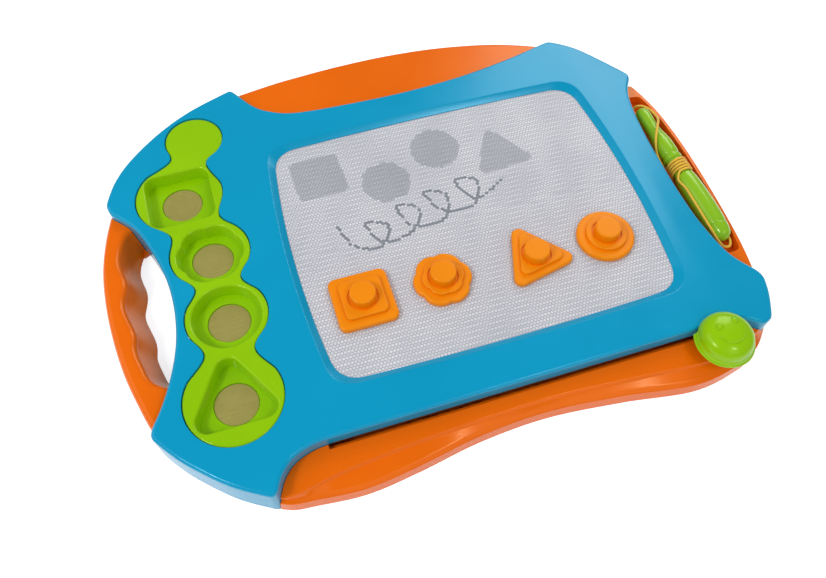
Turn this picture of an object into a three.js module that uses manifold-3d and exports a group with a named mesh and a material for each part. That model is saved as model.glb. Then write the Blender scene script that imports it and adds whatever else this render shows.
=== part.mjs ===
// Magnetic drawing board: a framed erasable screen with a stamp holder, four stamps, a sliding
// eraser, a pen on a cord and a carrying handle. Millimetres, +Z up, standing on height zero.
// Plan places are worked out about the middle of the window, and the finished group is then
// moved so that its origin lies under the middle of the whole board.
import * as THREE from "three";
import { mergeVertices } from "three/addons/utils/BufferGeometryUtils.js";
import Module from "manifold-3d";

const wasm = await Module();
wasm.setup();

// General
const GAP = 0.3; // clearance between fixed neighbours
const OVERRUN = 1; // how far a cutting tool passes through a face
const WALL = 2.4; // moulded wall
const THIN_WALL = 1.8;
const WELD = 1e-4; // distance under which two corners are one

// Plan of the board, about the middle of the window
const WINDOW_HALF_X = 118;
const WINDOW_HALF_Y = 93;
const WINDOW_BULGE_X = 6.6; // how far the window's sides bow out
const WINDOW_BULGE_Y = 2.4;
const WINDOW_CORNER = 16;
const LEFT_BAND = 110; // from the window to the frame's reach on each side
const RIGHT_BAND = 51;
const BACK_BAND = 65;
const FRONT_BAND = 53;

// Heights above the table
const SCREEN_HEIGHT = 24;
const FRAME_PROUD = 3.5; // frame's top above the drawing face
const SHELF_DROP = 6.6; // from the drawing face down to the apron's edge beside the slot
const STEP_DROP = 2.2; // on down to the apron's crease
const LIP_DROP = 4.6; // on down to the apron's lip
const CREST_HEIGHT = 24; // crescent at the back
const HANDLE_HEIGHT = 21.5;
const TRAY_HEIGHT = 12.5;
const TRAY_FLOOR_HEIGHT = 4.7;

// Screen
const FRONT_SHEET = 0.4;
const CORE_THICKNESS = 2.8;
const BACK_SHEET = 0.4;
const SHEET_MARGIN_X = 11; // how far the sheets reach past the window
const SHEET_MARGIN_Y = 6;
const RING_THICKNESS = 2.3;
const RING_OPENING_X = 7.5; // retainer ring's opening and rim past the window
const RING_OPENING_Y = 3;
const RING_RIM_X = 20;
const RING_RIM_Y = 13;
const SEAT_MARGIN = 9; // frame's raised seat round the window

// Screws
const SHANK_R = 1.2;
const PILOT_R = 1.5;
const SCREW_HOLE_R = 1.9;
const SCREW_HEAD_R = 2.6;
const SCREW_HEAD = 1.8;
const BOSS_R = 3.2;
const WELL_R = 4.8;
const WELL_BORE_R = 3.4;
const WELL_DEPTH = 3.6;
const HOUSING_SHANK = 11;
const RING_SHANK = 5.5;
const KNOB_SHANK = 8;

// Frame and cover
const FALL_LENGTH = 50; // over this length the frame's right side falls
const FALL = 6;
const WINDOW_BEVEL = 5;
const SKIRT_LIFT = 0.5; // skirt's clearance above the table
const STRIP_REACH = 4; // cover's floor under the skirt, to each side
const HANDLE_ROUNDING = 2.6;
const CREST_ROUNDING = 3;
const TRAY_ROUNDING = 1.2;
const TRAY_RIM = 3;

// Stamp holder and stamps
const HOLDER_DROP = 0.8; // holder's face below the frame's
const FLANGE = 3;
const HEAD_LOBE_R = 20;
const SQUARE_LOBE_R = 29;
const FLOWER_LOBE_R = 25.8;
const CIRCLE_LOBE_R = 25.7;
const TRIANGLE_LOBE_R = 29.7;
const RECESS_DEPTH = 9.4;
const RECESS_CLEARANCE = 2.3;
const DISC_R = 12.5;
const DISC_THICKNESS = 0.8;
const DISC_POCKET = 1.2;
const POST_R = 4;
const STAMP_SIZE = 38;
const TRIANGLE_REACH = 29; // centre to a sharp corner
const STAMP_CORNER = 5;
const PETAL = 2.2; // depth of the flower's notches
const STAMP_BASE = 4;
const STAMP_FLARE = 1.4;
const STAMP_LIFT = 0.3; // body above the drawing face
const PEDESTAL = 2.6;
const PEDESTAL_SHARE = 0.71; // of the stamp's outline
const STAMP_KNOB_R = 8.3;
const STAMP_KNOB = 6;
const STAMP_ROUNDING = 1.2;
const STAMP_MAGNET = 1.6;
const STAMP_MAGNET_INSET = 2.2;
const TRIANGLE_TURN = 12; // degrees

// Eraser
const PARK_PAST_WINDOW = 1; // how far past the window's edge the bar is parked
const BAR_WIDTH = 9;
const BAR_THICKNESS = 2.7;
const BAR_END_CLEARANCE = 1.5;
const ERASER_MAGNET_WIDTH = 5;
const ERASER_MAGNET = 1.4;
const ARM_WIDTH = 14;
const ARM_THICKNESS = 4.1;
const ARM_ROOT = 9;
const BLADE_THICKNESS = 2;
const BLADE_CLEARANCE = 0.5;
const SLOT_WIDTH = 3;
const TONGUE_RISE = 7.3; // above the apron's edge
const TONGUE_THICKNESS = 1.8;
const TONGUE_LENGTH = 16;
const KNOB_BRIM_R = 19.6;
const KNOB_DOME_R = 15.4;
const KNOB_LIFT = 0.7; // knob's foot below the tongue's top
const KNOB_RISE = 14;
const KNOB_SETBACK = 10.9; // knob's middle in front of the frame's front wall
const KNOB_CAVITY_R = 13;
const KNOB_WALL_CLEARANCE = 2;
const RAIL_WIDTH = 2;
const RAIL_INSET = 13; // rails inside the window's front and back edges

// Pen, along its own axis from nose to tail
const PEN_LENGTH = 123;
const PEN_R = 8;
const PEN_NOSE_REACH = 43.4; // past the window's edge
const PEN_TAIL_REACH = 47;
const PEN_MIDDLE_Y = -0.5;
const NOSE_ROOM = 16; // tray's recess past the pen's ends
const TAIL_ROOM = 11;
const TIP_MAGNET_R = 2.4;
const TIP_MAGNET_LENGTH = 3;
const PLUG_R = 1.7;
const PLUG_LENGTH = 6;

// Pen cord
const CORD_DIAMETER = 1.8;
const CORD_PITCH = 2.4;
const CORD_TURNS = 4.64;
const CORD_START_TURN = 240; // degrees about the pen's axis
const KNOT_R = 1.8;

// Segment counts
const PETAL_ROUND = 36;
const ROUND = 24;
const MEDIUM_ROUND = 16;
const SMALL_ROUND = 10;
const LOOP_STEPS = 24;
const LOOP_SIDES = 6;
const LEAD_SIDES = 8;
const LEAD_STEP_DIAMETERS = 2.4;

// A place on the plan from two shares: one is the window's edge, two the frame's reach.
function along(share, half, lowBand, highBand) {
  const reach = Math.abs(share);
  if (reach <= 1) return share * half;
  return Math.sign(share) * (half + (reach - 1) * (share < 0 ? lowBand : highBand));
}

const spot = ([shareX, shareY]) => new THREE.Vector2(
  along(shareX, WINDOW_HALF_X, LEFT_BAND, RIGHT_BAND), along(shareY, WINDOW_HALF_Y, FRONT_BAND, BACK_BAND));

// A smooth run of points through the places of a table of shares.
const run = (shares, steps) => new THREE.SplineCurve(shares.map(spot)).getPoints(steps);

// Runs round the frame's outline, anticlockwise from the back left corner
const backLeftShares = [[-1.1, 2], [-1.391, 1.815], [-1.618, 1.585], [-1.818, 1.292], [-1.932, 1.038], [-2, 0.839]];
const leftBayShares = [
  [-1.982, 0.753], [-1.864, 0.591], [-1.791, 0.387], [-1.732, 0.129], [-1.715, -0.129],
  [-1.736, -0.387], [-1.791, -0.613], [-1.864, -0.806], [-1.936, -0.946],
];
const frontLeftShares = [[-1.945, -0.995], [-1.873, -1.198], [-1.782, -1.415], [-1.6, -1.755], [-1.409, -2]];
const frontBayShares = [[-1.386, -1.962], [-1.345, -1.792], [-1.273, -1.651], [-1.173, -1.574], [-1.091, -1.555]];
const frontRightShares = [[1.196, -1.555], [1.412, -1.589], [1.627, -1.706]];
const rightCornerShares = [[1.765, -1.66], [1.922, -1.358], [2, -1.113]];
const rightBayShares = [
  [1.961, -1.009], [1.725, -0.828], [1.604, -0.559], [1.565, -0.301], [1.561, 0],
  [1.58, 0.301], [1.627, 0.57], [1.716, 0.785], [1.882, 0.941],
];
const backRightShares = [[1.892, 0.978], [1.627, 1.223], [1.314, 1.492], [0.979, 1.685]];
const backBayShares = [
  [0.936, 1.669], [0.669, 1.551], [0.318, 1.446], [-0.034, 1.403], [-0.39, 1.409],
  [-0.746, 1.455], [-0.907, 1.569], [-0.992, 1.708], [-1.069, 1.923],
];

// Runs round the cover's raised parts
const crestShares = [
  [0.966, 1.669], [0.669, 1.883], [0.318, 2.022], [-0.034, 2.083],
  [-0.39, 2.083], [-0.742, 2.04], [-0.915, 2], [-1.109, 1.946],
];
const crestRootShares = [[-1, 1.3], [0.9, 1.3]];
const handleShares = [
  [-1.982, 0.817], [-2.023, 0.645], [-2.055, 0.473], [-2.075, 0.301], [-2.08, 0.086], [-2.073, -0.129],
  [-2.053, -0.344], [-2.027, -0.527], [-1.991, -0.699], [-1.941, -0.903], [-1.9, -1],
];
const gripShares = [
  [-1.74, -0.645], [-1.9, -0.538], [-1.936, -0.452], [-1.956, -0.323], [-1.945, -0.215], [-1.985, 0.011],
  [-1.951, 0.183], [-1.969, 0.312], [-1.971, 0.409], [-1.936, 0.538], [-1.873, 0.608], [-1.7, 0.645],
];
const trayShares = [
  [1.97, -1.02], [2.039, -0.968], [2.108, -0.731], [2.149, -0.43], [2.173, -0.054],
  [2.167, 0.269], [2.127, 0.559], [2.059, 0.763], [1.961, 0.946],
];
const trayRootShares = [[1.5, 0.946], [1.5, -1.02]];
const apronShares = [
  [-1.405, -1.972], [-1.336, -2.03], [-1.225, -2.057], [-0.958, -2.102], [-0.686, -2.038], [-0.336, -1.913],
  [0.034, -1.874], [0.443, -1.96], [0.833, -2.083], [1.245, -1.994], [1.549, -1.858], [1.76, -1.665],
];
const creaseShares = [
  [-1.405, -1.96], [-1.291, -1.965], [-1.164, -1.915], [-0.964, -1.853], [-0.547, -1.783], [0.015, -1.757],
  [0.39, -1.8], [0.861, -1.883], [1.235, -1.86], [1.549, -1.73], [1.79, -1.6],
];

// Stamp holder's lobes from back to front, how narrow it is between them, and the parked stamps
const lobeShares = [[-1.405, 1.377], [-1.564, 0.763], [-1.456, 0.22], [-1.441, -0.301], [-1.497, -0.889]];
const neckShares = [0.62, 0.66, 0.56, 0.58];
const stampShares = [[-0.708, -0.45], [-0.267, -0.455], [0.689, -0.455], [0.262, -0.475]];

// Screws that hold the cover to the frame
const housingScrewShares = [
  [-1.18, 1.72], [-1.86, 0.98], [-1.646, -0.03], [-1.81, -1.1],
  [-1.43, -1.68], [-0.03, 1.27], [1.12, 1.43], [1.67, -1.33],
];
const SLOT_REACH_SHARE = 1.08; // half the slot's length, of the window's half width

// Pen's outline as shares of its length and radius: the cord's seat, the barrels, their bores
const seatShares = [[0.42, 0.725], [0.533, 0.725]];
const frontBarrelShares = [
  [0, 0.42], [0.012, 0.56], [0.03, 0.64], [0.055, 0.67], [0.1, 0.655], [0.145, 0.62], [0.19, 0.66], [0.24, 0.78],
  [0.28, 0.86], [0.32, 0.875], [0.37, 0.86], [0.383, 0.82], [0.396, 0.85], [0.415, 0.83], seatShares[0], [0.478, 0.725],
];
const rearBarrelShares = [
  [0.43, 0.46], [0.478, 0.46], [0.478, 0.725], seatShares[1], [0.54, 0.87], [0.58, 0.95], [0.66, 1], [0.78, 1],
  [0.86, 0.95], [0.898, 0.89], [0.905, 0.855], [0.912, 0.88], [0.945, 0.81], [0.975, 0.66], [0.992, 0.4], [1, 0.2],
];
const frontBoreShares = [[0.06, 0.36], [0.2, 0.36], [0.27, 0.6], [0.37, 0.6], [0.41, 0.5], [0.49, 0.5]];
const rearBoreShares = [[0.42, 0.25], [0.52, 0.25], [0.6, 0.72], [0.82, 0.72], [0.86, 0.5], [0.875, 0.2]];

// Cord routes as shares of the pen's radius aside and up from its axis, and of its length
const frontRouteShares = [
  [-1.12, -0.1, 0.39], [-1.11, 0.25, 0.33], [-0.86, 0.84, 0.27], [-0.2, 1.02, 0.2], [0.55, 0.72, 0.135],
  [1.02, 0.15, 0.07], [0.85, 0.15, 0.015], [0.4, 0.08, -0.03], [-0.06, -0.08, -0.046], [-0.25, -0.3, -0.046],
];
const tailRouteShares = [
  [-1.1, 0.3, 0.56], [-1.18, -0.3, 0.64], [-1.2, -0.5, 0.75], [-1.12, -0.52, 0.86], [-0.95, -0.55, 0.94],
  [-0.78, -0.52, 0.99], [-0.35, -0.46, 1.028], [0.2, -0.38, 1.03], [0.52, -0.29, 1],
];
const plugShares = [0.56, -0.26, 0.94]; // plug's face
const knotShares = [-0.27, 0, -0.046];

const finish = (color, roughness, metalness = 0) => ({ color, roughness, metalness });
const finishes = {
  blue: finish(0x00a0cc, 0.35),
  orange: finish(0xe77201, 0.35),
  stamp: finish(0xf08c00, 0.4),
  green: finish(0x98cf04, 0.35),
  pen: finish(0x96cd28, 0.3),
  sheet: finish(0xcdced3, 0.45),
  core: finish(0xe6e6e8, 0.7),
  disc: finish(0xa99f5a, 0.35, 1),
  steel: finish(0x9a9a98, 0.35, 1),
  magnet: finish(0x3a3a3c, 0.7),
  cord: finish(0xe6aa1e, 0.8),
};

const board = new THREE.Group();

function addNode(name, geometry, look) {
  const mesh = new THREE.Mesh(geometry, new THREE.MeshStandardMaterial(look));
  mesh.name = name;
  board.add(mesh);
}

// A closed geometry as a solid, and a solid back as a geometry.
function solid(geometry) {
  const bare = geometry.clone();
  bare.deleteAttribute("normal");
  bare.deleteAttribute("uv");
  const merged = mergeVertices(bare, WELD);
  const vertProperties = merged.attributes.position.array;
  const triVerts = new Uint32Array(merged.index.array);
  return new wasm.Manifold(new wasm.Mesh({ numProp: 3, vertProperties, triVerts }));
}

function geometryOf(body) {
  const mesh = body.getMesh();
  const geometry = new THREE.BufferGeometry();
  geometry.setAttribute("position", new THREE.BufferAttribute(new Float32Array(mesh.vertProperties), 3));
  geometry.setIndex(new THREE.BufferAttribute(new Uint32Array(mesh.triVerts), 1));
  return geometry;
}

const joined = (bodies) => bodies.reduce((whole, body) => whole.add(body));

// An outline drawn in by a distance along its own corners' bisectors; a negative one grows it.
function inset(points, distance) {
  return points.map((point, i) => {
    const before = points[(i + points.length - 1) % points.length];
    const after = points[(i + 1) % points.length];
    const a = point.clone().sub(before).normalize();
    const b = after.clone().sub(point).normalize();
    const bisector = new THREE.Vector2(-a.y - b.y, a.x + b.x);
    return point.clone().addScaledVector(bisector, distance / Math.max(1 + a.dot(b), 1 / 2));
  });
}

// A closed solid through rings of the same count of places. The flattening gives each ring as a
// plane outline, anticlockwise when seen from beyond the last ring.
function loft(rings, flatten) {
  const count = rings[0].length;
  const faces = [];
  for (let low = 0; low < (rings.length - 1) * count; low += count) {
    for (let i = 0; i < count; i++) {
      const next = (i + 1) % count;
      const high = low + count;
      faces.push(low + i, low + next, high + next, low + i, high + next, high + i);
    }
  }
  const last = (rings.length - 1) * count;
  const firstCap = THREE.ShapeUtils.triangulateShape(rings[0].map(flatten), []);
  const lastCap = THREE.ShapeUtils.triangulateShape(rings[rings.length - 1].map(flatten), []);
  for (const [a, b, c] of firstCap) faces.push(a, c, b);
  for (const [a, b, c] of lastCap) faces.push(last + a, last + b, last + c);
  const geometry = new THREE.BufferGeometry();
  const positions = new Float32Array(rings.flat().flatMap(({ x, y, z }) => [x, y, z]));
  geometry.setAttribute("position", new THREE.BufferAttribute(positions, 3));
  geometry.setIndex(faces);
  return solid(geometry);
}

// A solid whose outline changes with height: each level is an outline and its height.
const stack = (levels) => loft(
  levels.map(({ points, height }) => points.map(({ x, y }) => new THREE.Vector3(x, y, height))),
  ({ x, y }) => new THREE.Vector2(x, y),
);

const prism = (points, low, high) => stack([{ points, height: low }, { points, height: high }]);

// The same with a moulded edge's rounding at the top.
function cushion(points, low, high, rounding) {
  return stack([
    { points, height: low },
    { points, height: high - rounding },
    { points: inset(points, rounding / 3), height: high - rounding / 3 },
    { points: inset(points, rounding), height: high },
  ]);
}

const slab = (x0, x1, y0, y1, z0, z1) => solid(new THREE.BoxGeometry(x1 - x0, y1 - y0, z1 - z0)
  .translate((x0 + x1) / 2, (y0 + y1) / 2, (z0 + z1) / 2));

// A slab about the window's middle from its half sizes.
const plate = (halfX, halfY, low, high) => slab(-halfX, halfX, -halfY, halfY, low, high);

const cylinder = (radius, low, high, { x, y } = { x: 0, y: 0 }, sides = SMALL_ROUND) => solid(
  new THREE.CylinderGeometry(radius, radius, high - low, sides)
    .rotateX(Math.PI / 2).translate(x, y, (low + high) / 2));

// A turned solid about +Z from pairs of radius and height, bottom to top, closed on its axis.
function turned(profile, sides = ROUND) {
  const first = profile[0];
  const last = profile[profile.length - 1];
  const points = [[0, first[1]], ...profile, [0, last[1]]].map(([radius, height]) => new THREE.Vector2(radius, height));
  return solid(new THREE.LatheGeometry(points, sides).rotateX(Math.PI / 2));
}

const at = (body, { x, y }) => body.translate([x, y, 0]);

// An outline of the window's kind: bowed sides and round corners.
function pillow(margin) {
  const halfX = WINDOW_HALF_X + margin;
  const halfY = WINDOW_HALF_Y + margin;
  const cornerX = halfX - WINDOW_BULGE_X;
  const cornerY = halfY - WINDOW_BULGE_Y;
  const flatX = cornerX - WINDOW_CORNER;
  const flatY = cornerY - WINDOW_CORNER;
  const sideX = halfX - WINDOW_BULGE_X * (flatY / cornerY) ** 2;
  const sideY = halfY - WINDOW_BULGE_Y * (flatX / cornerX) ** 2;
  const bowX = 2 * halfX - sideX;
  const bowY = 2 * halfY - sideY;
  const shape = new THREE.Shape();
  shape.moveTo(sideX, -flatY);
  shape.quadraticCurveTo(bowX, 0, sideX, flatY).quadraticCurveTo(cornerX, cornerY, flatX, sideY);
  shape.quadraticCurveTo(0, bowY, -flatX, sideY).quadraticCurveTo(-cornerX, cornerY, -sideX, flatY);
  shape.quadraticCurveTo(-bowX, 0, -sideX, -flatY).quadraticCurveTo(-cornerX, -cornerY, -flatX, -sideY);
  shape.quadraticCurveTo(0, -bowY, flatX, -sideY).quadraticCurveTo(cornerX, -cornerY, sideX, -flatY);
  return shape.getPoints(5).slice(0, -1);
}

// Heights and places that follow from the sizes above
const frameTop = SCREEN_HEIGHT + FRAME_PROUD;
const plateUnder = frameTop - WALL;
const coreTop = SCREEN_HEIGHT - FRONT_SHEET;
const coreUnder = coreTop - CORE_THICKNESS;
const screenUnder = coreUnder - BACK_SHEET;
const ringUnder = screenUnder - RING_THICKNESS;
const shelfHeight = SCREEN_HEIGHT - SHELF_DROP;
const stepHeight = shelfHeight - STEP_DROP;
const lipHeight = stepHeight - LIP_DROP;
const tongueTop = shelfHeight + TONGUE_RISE;
const knobFoot = tongueTop - KNOB_LIFT;
const sheetHalfX = WINDOW_HALF_X + SHEET_MARGIN_X;
const sheetHalfY = WINDOW_HALF_Y + SHEET_MARGIN_Y;
const wellTop = WELL_DEPTH + WALL;
const skirtOverFloor = WALL + GAP;
const skirtOverShelf = shelfHeight + GAP;
const frontWallY = spot([0, frontRightShares[0][1]]).y;
const slotY = frontWallY - SLOT_WIDTH;
const slotEndX = WINDOW_HALF_X * SLOT_REACH_SHARE;
const barTop = screenUnder - GAP;
const barUnder = barTop - BAR_THICKNESS;
const armTop = skirtOverShelf - 2 * GAP;
const armUnder = armTop - ARM_THICKNESS;
const barEnd = WINDOW_HALF_Y + RING_OPENING_Y - BAR_END_CLEARANCE;
const bladeY = frontWallY - BLADE_CLEARANCE;
const knobY = frontWallY - KNOB_SETBACK;
const penHeight = TRAY_FLOOR_HEIGHT + GAP + PEN_R;
const holderTop = frameTop - HOLDER_DROP;
const recessFloor = holderTop - RECESS_DEPTH;
const discUnder = recessFloor - DISC_POCKET;
const cupUnder = discUnder - THIN_WALL;
const leftBayRun = run(leftBayShares, 12);
const frontBayRun = run(frontBayShares, 8);
const rightBayRun = run(rightBayShares, 12);
const backBayRun = run(backBayShares, 16);
const frameOutline = [
  ...run(backLeftShares, 8), ...leftBayRun, ...run(frontLeftShares, 8), ...frontBayRun,
  ...run(frontRightShares, 4), ...run(rightCornerShares, 4), ...rightBayRun,
  ...run(backRightShares, 8), ...backBayRun,
];
const passages = [
  leftBayRun.slice(1, -1), rightBayRun.slice(1, -1), backBayRun.slice(1, -2),
  [...frontBayRun.slice(2), ...run(frontRightShares, 4)],
];
const ringScrewSpots = [[-1, -1], [1, -1], [1, 1], [-1, 1]].map(([signX, signY]) => new THREE.Vector2(
  signX * (WINDOW_HALF_X + (SHEET_MARGIN_X + RING_RIM_X) / 2),
  signY * (WINDOW_HALF_Y + (SHEET_MARGIN_Y + RING_RIM_Y) / 2),
));
const housingScrewSpots = housingScrewShares.map(spot);

// The frame's top falls away towards its right side.
const fallAt = (x) => Math.max(0, (x - WINDOW_HALF_X) * (FALL / FALL_LENGTH));

// Everything above the falling top, or above a level that far below it.
function fallWedge(drop) {
  const reach = WINDOW_HALF_X + 2 * FALL_LENGTH;
  const shape = new THREE.Shape([
    new THREE.Vector2(WINDOW_HALF_X, frameTop - drop),
    new THREE.Vector2(reach, frameTop - drop - 2 * FALL),
    new THREE.Vector2(reach, 2 * frameTop),
    new THREE.Vector2(WINDOW_HALF_X, 2 * frameTop),
  ]);
  return solid(new THREE.ExtrudeGeometry(shape, { depth: 2 * reach, bevelEnabled: false })
    .rotateX(Math.PI / 2).translate(0, reach, 0));
}

// A strip along a run of points, reaching the same distance to both of its sides.
function strip(points, reach, low, high) {
  const side = (offset) => points.map((point, i) => {
    const before = points[Math.max(i - 1, 0)];
    const after = points[Math.min(i + 1, points.length - 1)];
    const direction = after.clone().sub(before).normalize();
    return new THREE.Vector2(point.x - direction.y * offset, point.y + direction.x * offset);
  });
  return prism([...side(-reach), ...side(reach).reverse()], low, high);
}

// The straight stretch of the front wall, where the eraser's slot runs.
const slotBox = (margin, low, high) => slab(
  -slotEndX - margin, slotEndX + margin, slotY - margin, frontWallY + 2 * WALL, low, high);

// A round outline with six petals, their notches sunk by a depth.
function petals(radius, depth, count) {
  return Array.from({ length: count }, (_, i) => {
    const turn = (i / count) * 2 * Math.PI;
    const reach = radius - depth * (1 - Math.abs(Math.cos(3 * turn)));
    return new THREE.Vector2(reach * Math.cos(turn), reach * Math.sin(turn));
  });
}

// A regular polygon with round corners, grown by a margin.
function roundPolygon(sides, reach, firstTurn, margin) {
  const inner = reach - STAMP_CORNER / Math.cos(Math.PI / sides);
  const arm = STAMP_CORNER + margin;
  const steps = 4;
  const points = [];
  for (let corner = 0; corner < sides; corner++) {
    const middle = firstTurn + (corner / sides) * 2 * Math.PI;
    for (let step = 0; step <= steps; step++) {
      const turn = middle + (step / steps - 1 / 2) * ((2 * Math.PI) / sides);
      points.push(new THREE.Vector2(
        inner * Math.cos(middle) + arm * Math.cos(turn), inner * Math.sin(middle) + arm * Math.sin(turn)));
    }
  }
  return points;
}

// Stamp outlines about their own middle, each grown by a margin
const upright = Math.PI / 2;
const stampOutlines = {
  square: (margin) => roundPolygon(4, STAMP_SIZE * Math.SQRT1_2, upright / 2, margin),
  flower: (margin) => petals(STAMP_SIZE / 2 + margin, PETAL, PETAL_ROUND),
  circle: (margin) => petals(STAMP_SIZE / 2 + margin, 0, ROUND),
  triangle: (margin, turn = 0) => roundPolygon(3, TRIANGLE_REACH, upright + turn, margin),
};
const kinds = Object.keys(stampOutlines);

const lobeRadii = [HEAD_LOBE_R, SQUARE_LOBE_R, FLOWER_LOBE_R, CIRCLE_LOBE_R, TRIANGLE_LOBE_R];
const lobes = lobeShares.map((shares, i) => ({ centre: spot(shares), radius: lobeRadii[i] }));
const cupSpots = lobes.slice(1).map(({ centre }) => centre);

// The waist between two lobes, its sides curving in from one round to the next.
function neck(from, to, share, margin, low, high) {
  const axis = to.centre.clone().sub(from.centre);
  const ahead = axis.clone().normalize();
  const across = new THREE.Vector2(-ahead.y, ahead.x);
  const waist = share * Math.min(from.radius, to.radius) + margin;
  const waistShare = (1 + (from.radius - to.radius) / axis.length()) / 2;
  const tangent = ({ centre, radius }, sign, toward) => centre.clone()
    .addScaledVector(across, sign * (radius + margin) * Math.sin(Math.PI / 3))
    .addScaledVector(ahead, toward * (radius + margin) * Math.cos(Math.PI / 3));
  const side = (sign) => new THREE.SplineCurve([
    tangent(from, sign, 1),
    from.centre.clone().lerp(to.centre, waistShare).addScaledVector(across, sign * waist),
    tangent(to, sign, -1),
  ]).getPoints(4);
  return prism([from.centre.clone(), ...side(-1), to.centre.clone(), ...side(1).reverse()], low, high);
}

function lobed(margin, low, high) {
  const rounds = lobes.map(({ centre, radius }) => cylinder(radius + margin, low, high, centre, ROUND));
  const necks = neckShares.map((share, i) => neck(lobes[i], lobes[i + 1], share, margin, low, high));
  return joined([...rounds, ...necks]);
}

// Front frame: a shell with a skirt, a seat for the screen, bosses, and its openings
const bossTop = ({ x }) => plateUnder + WALL / 2 - fallAt(x);

function frontFrame() {
  const outer = stack([
    { points: frameOutline, height: SKIRT_LIFT },
    { points: frameOutline, height: frameTop - FRAME_PROUD },
    { points: inset(frameOutline, WALL / 3), height: frameTop - WALL / 3 },
    { points: inset(frameOutline, WALL), height: frameTop },
  ]).subtract(fallWedge(0));
  const cavity = prism(inset(frameOutline, WALL), -OVERRUN, plateUnder).subtract(fallWedge(WALL));
  const shell = joined([
    outer.subtract(cavity),
    prism(pillow(SEAT_MARGIN), SCREEN_HEIGHT, plateUnder + WALL / 3),
    ...ringScrewSpots.map((place) => cylinder(BOSS_R, screenUnder, bossTop(place), place)),
    ...housingScrewSpots.map((place) => cylinder(BOSS_R, wellTop + GAP, bossTop(place), place)),
  ]);
  const window = stack([
    { points: pillow(0), height: SCREEN_HEIGHT - OVERRUN },
    { points: pillow(0), height: SCREEN_HEIGHT + GAP },
    { points: pillow(WINDOW_BEVEL), height: frameTop + GAP },
  ]);
  return shell.subtract(joined([
    window,
    plate(sheetHalfX + GAP, sheetHalfY + GAP, screenUnder, SCREEN_HEIGHT),
    lobed(GAP, plateUnder - WALL, frameTop + OVERRUN),
    slotBox(0, -OVERRUN, skirtOverShelf),
    ...passages.map((points) => strip(points, 2 * WALL, -OVERRUN, skirtOverFloor)),
    ...ringScrewSpots.map((place) => cylinder(PILOT_R, ringUnder, ringUnder + RING_SHANK + GAP, place)),
    ...housingScrewSpots.map((place) => cylinder(PILOT_R, wellTop, WELL_DEPTH + HOUSING_SHANK + GAP, place)),
  ]));
}

// Rear cover: a raised part is a shell, open below, that stops short of the frame.
const frameCut = (clearance) => prism(inset(frameOutline, -clearance), -2 * OVERRUN, 2 * frameTop);

const crestOutline = [...run(crestShares, 14), ...run(crestRootShares, 1)];
const handleOutline = [...run(handleShares, 14), ...run(gripShares, 22)];
const trayOutline = [...run(trayShares, 12), ...run(trayRootShares, 1)];

function raisedShell(outline, height, rounding) {
  const hollow = prism(inset(outline, WALL), -OVERRUN, height - WALL).subtract(frameCut(GAP + WALL));
  return cushion(outline, 0, height, rounding).subtract(frameCut(GAP)).subtract(hollow);
}

// The pen's tray: a sunk floor between the rim and the frame.
function tray() {
  const front = penNose.y - penDrop - TAIL_ROOM;
  const back = penNose.y + NOSE_ROOM;
  const recess = (margin, low) => prism(inset(trayOutline, TRAY_RIM - margin), low, 2 * TRAY_HEIGHT)
    .intersect(slab(0, 2 * WINDOW_HALF_X, front - margin, back + margin, low, 2 * TRAY_HEIGHT))
    .subtract(frameCut(GAP + THIN_WALL - margin));
  const hollow = prism(inset(trayOutline, WALL), -OVERRUN, TRAY_HEIGHT - WALL)
    .subtract(frameCut(GAP + WALL))
    .subtract(recess(WALL, TRAY_FLOOR_HEIGHT - WALL));
  const cordHole = cylinder(CORD_DIAMETER / 2 + 2 * GAP, 0, TRAY_HEIGHT, knotPlace());
  return cushion(trayOutline, 0, TRAY_HEIGHT, TRAY_ROUNDING)
    .subtract(frameCut(GAP)).subtract(hollow).subtract(recess(0, TRAY_FLOOR_HEIGHT)).subtract(cordHole);
}

// The place at an x on a curve that runs in +X, found by halving.
function curveAt(curve, x) {
  let low = 0;
  let high = 1;
  for (let i = 0; i < 24; i++) {
    const middle = (low + high) / 2;
    if (curve.getPoint(middle).x < x) low = middle;
    else high = middle;
  }
  return curve.getPoint(low);
}

// The apron's cross sections side by side along X, drawn in by a depth for the hollow below.
function apronLoft(depth, low) {
  const foot = new THREE.SplineCurve(apronShares.map(spot));
  const crease = new THREE.SplineCurve(creaseShares.map(spot));
  const back = frontWallY + WALL;
  const rings = foot.getPoints(24).map(({ x, y }) => {
    const lip = y + depth;
    const fold = Math.max(curveAt(crease, x).y, lip + WALL);
    return [
      [back, low], [back, shelfHeight - depth], [fold, stepHeight - depth],
      [fold - THIN_WALL / 2, stepHeight - THIN_WALL - depth],
      [lip + WALL / 2, lipHeight - depth], [lip, lipHeight - WALL / 2 - depth], [lip, low],
    ].map(([ringY, ringZ]) => new THREE.Vector3(x, ringY, ringZ));
  });
  return loft(rings, ({ y, z }) => new THREE.Vector2(y, z));
}

function apron() {
  const [first, last] = [apronShares[0], apronShares[apronShares.length - 1]].map(spot);
  const within = slab(first.x + WALL, last.x - WALL, 2 * slotY, 0, -2 * OVERRUN, frameTop);
  const hollow = apronLoft(WALL, -OVERRUN).intersect(within)
    .subtract(frameCut(GAP + WALL)).subtract(slotBox(WALL, -2 * OVERRUN, frameTop));
  return apronLoft(0, 0).subtract(frameCut(GAP)).subtract(slotBox(0, -OVERRUN, frameTop)).subtract(hollow);
}

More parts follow.
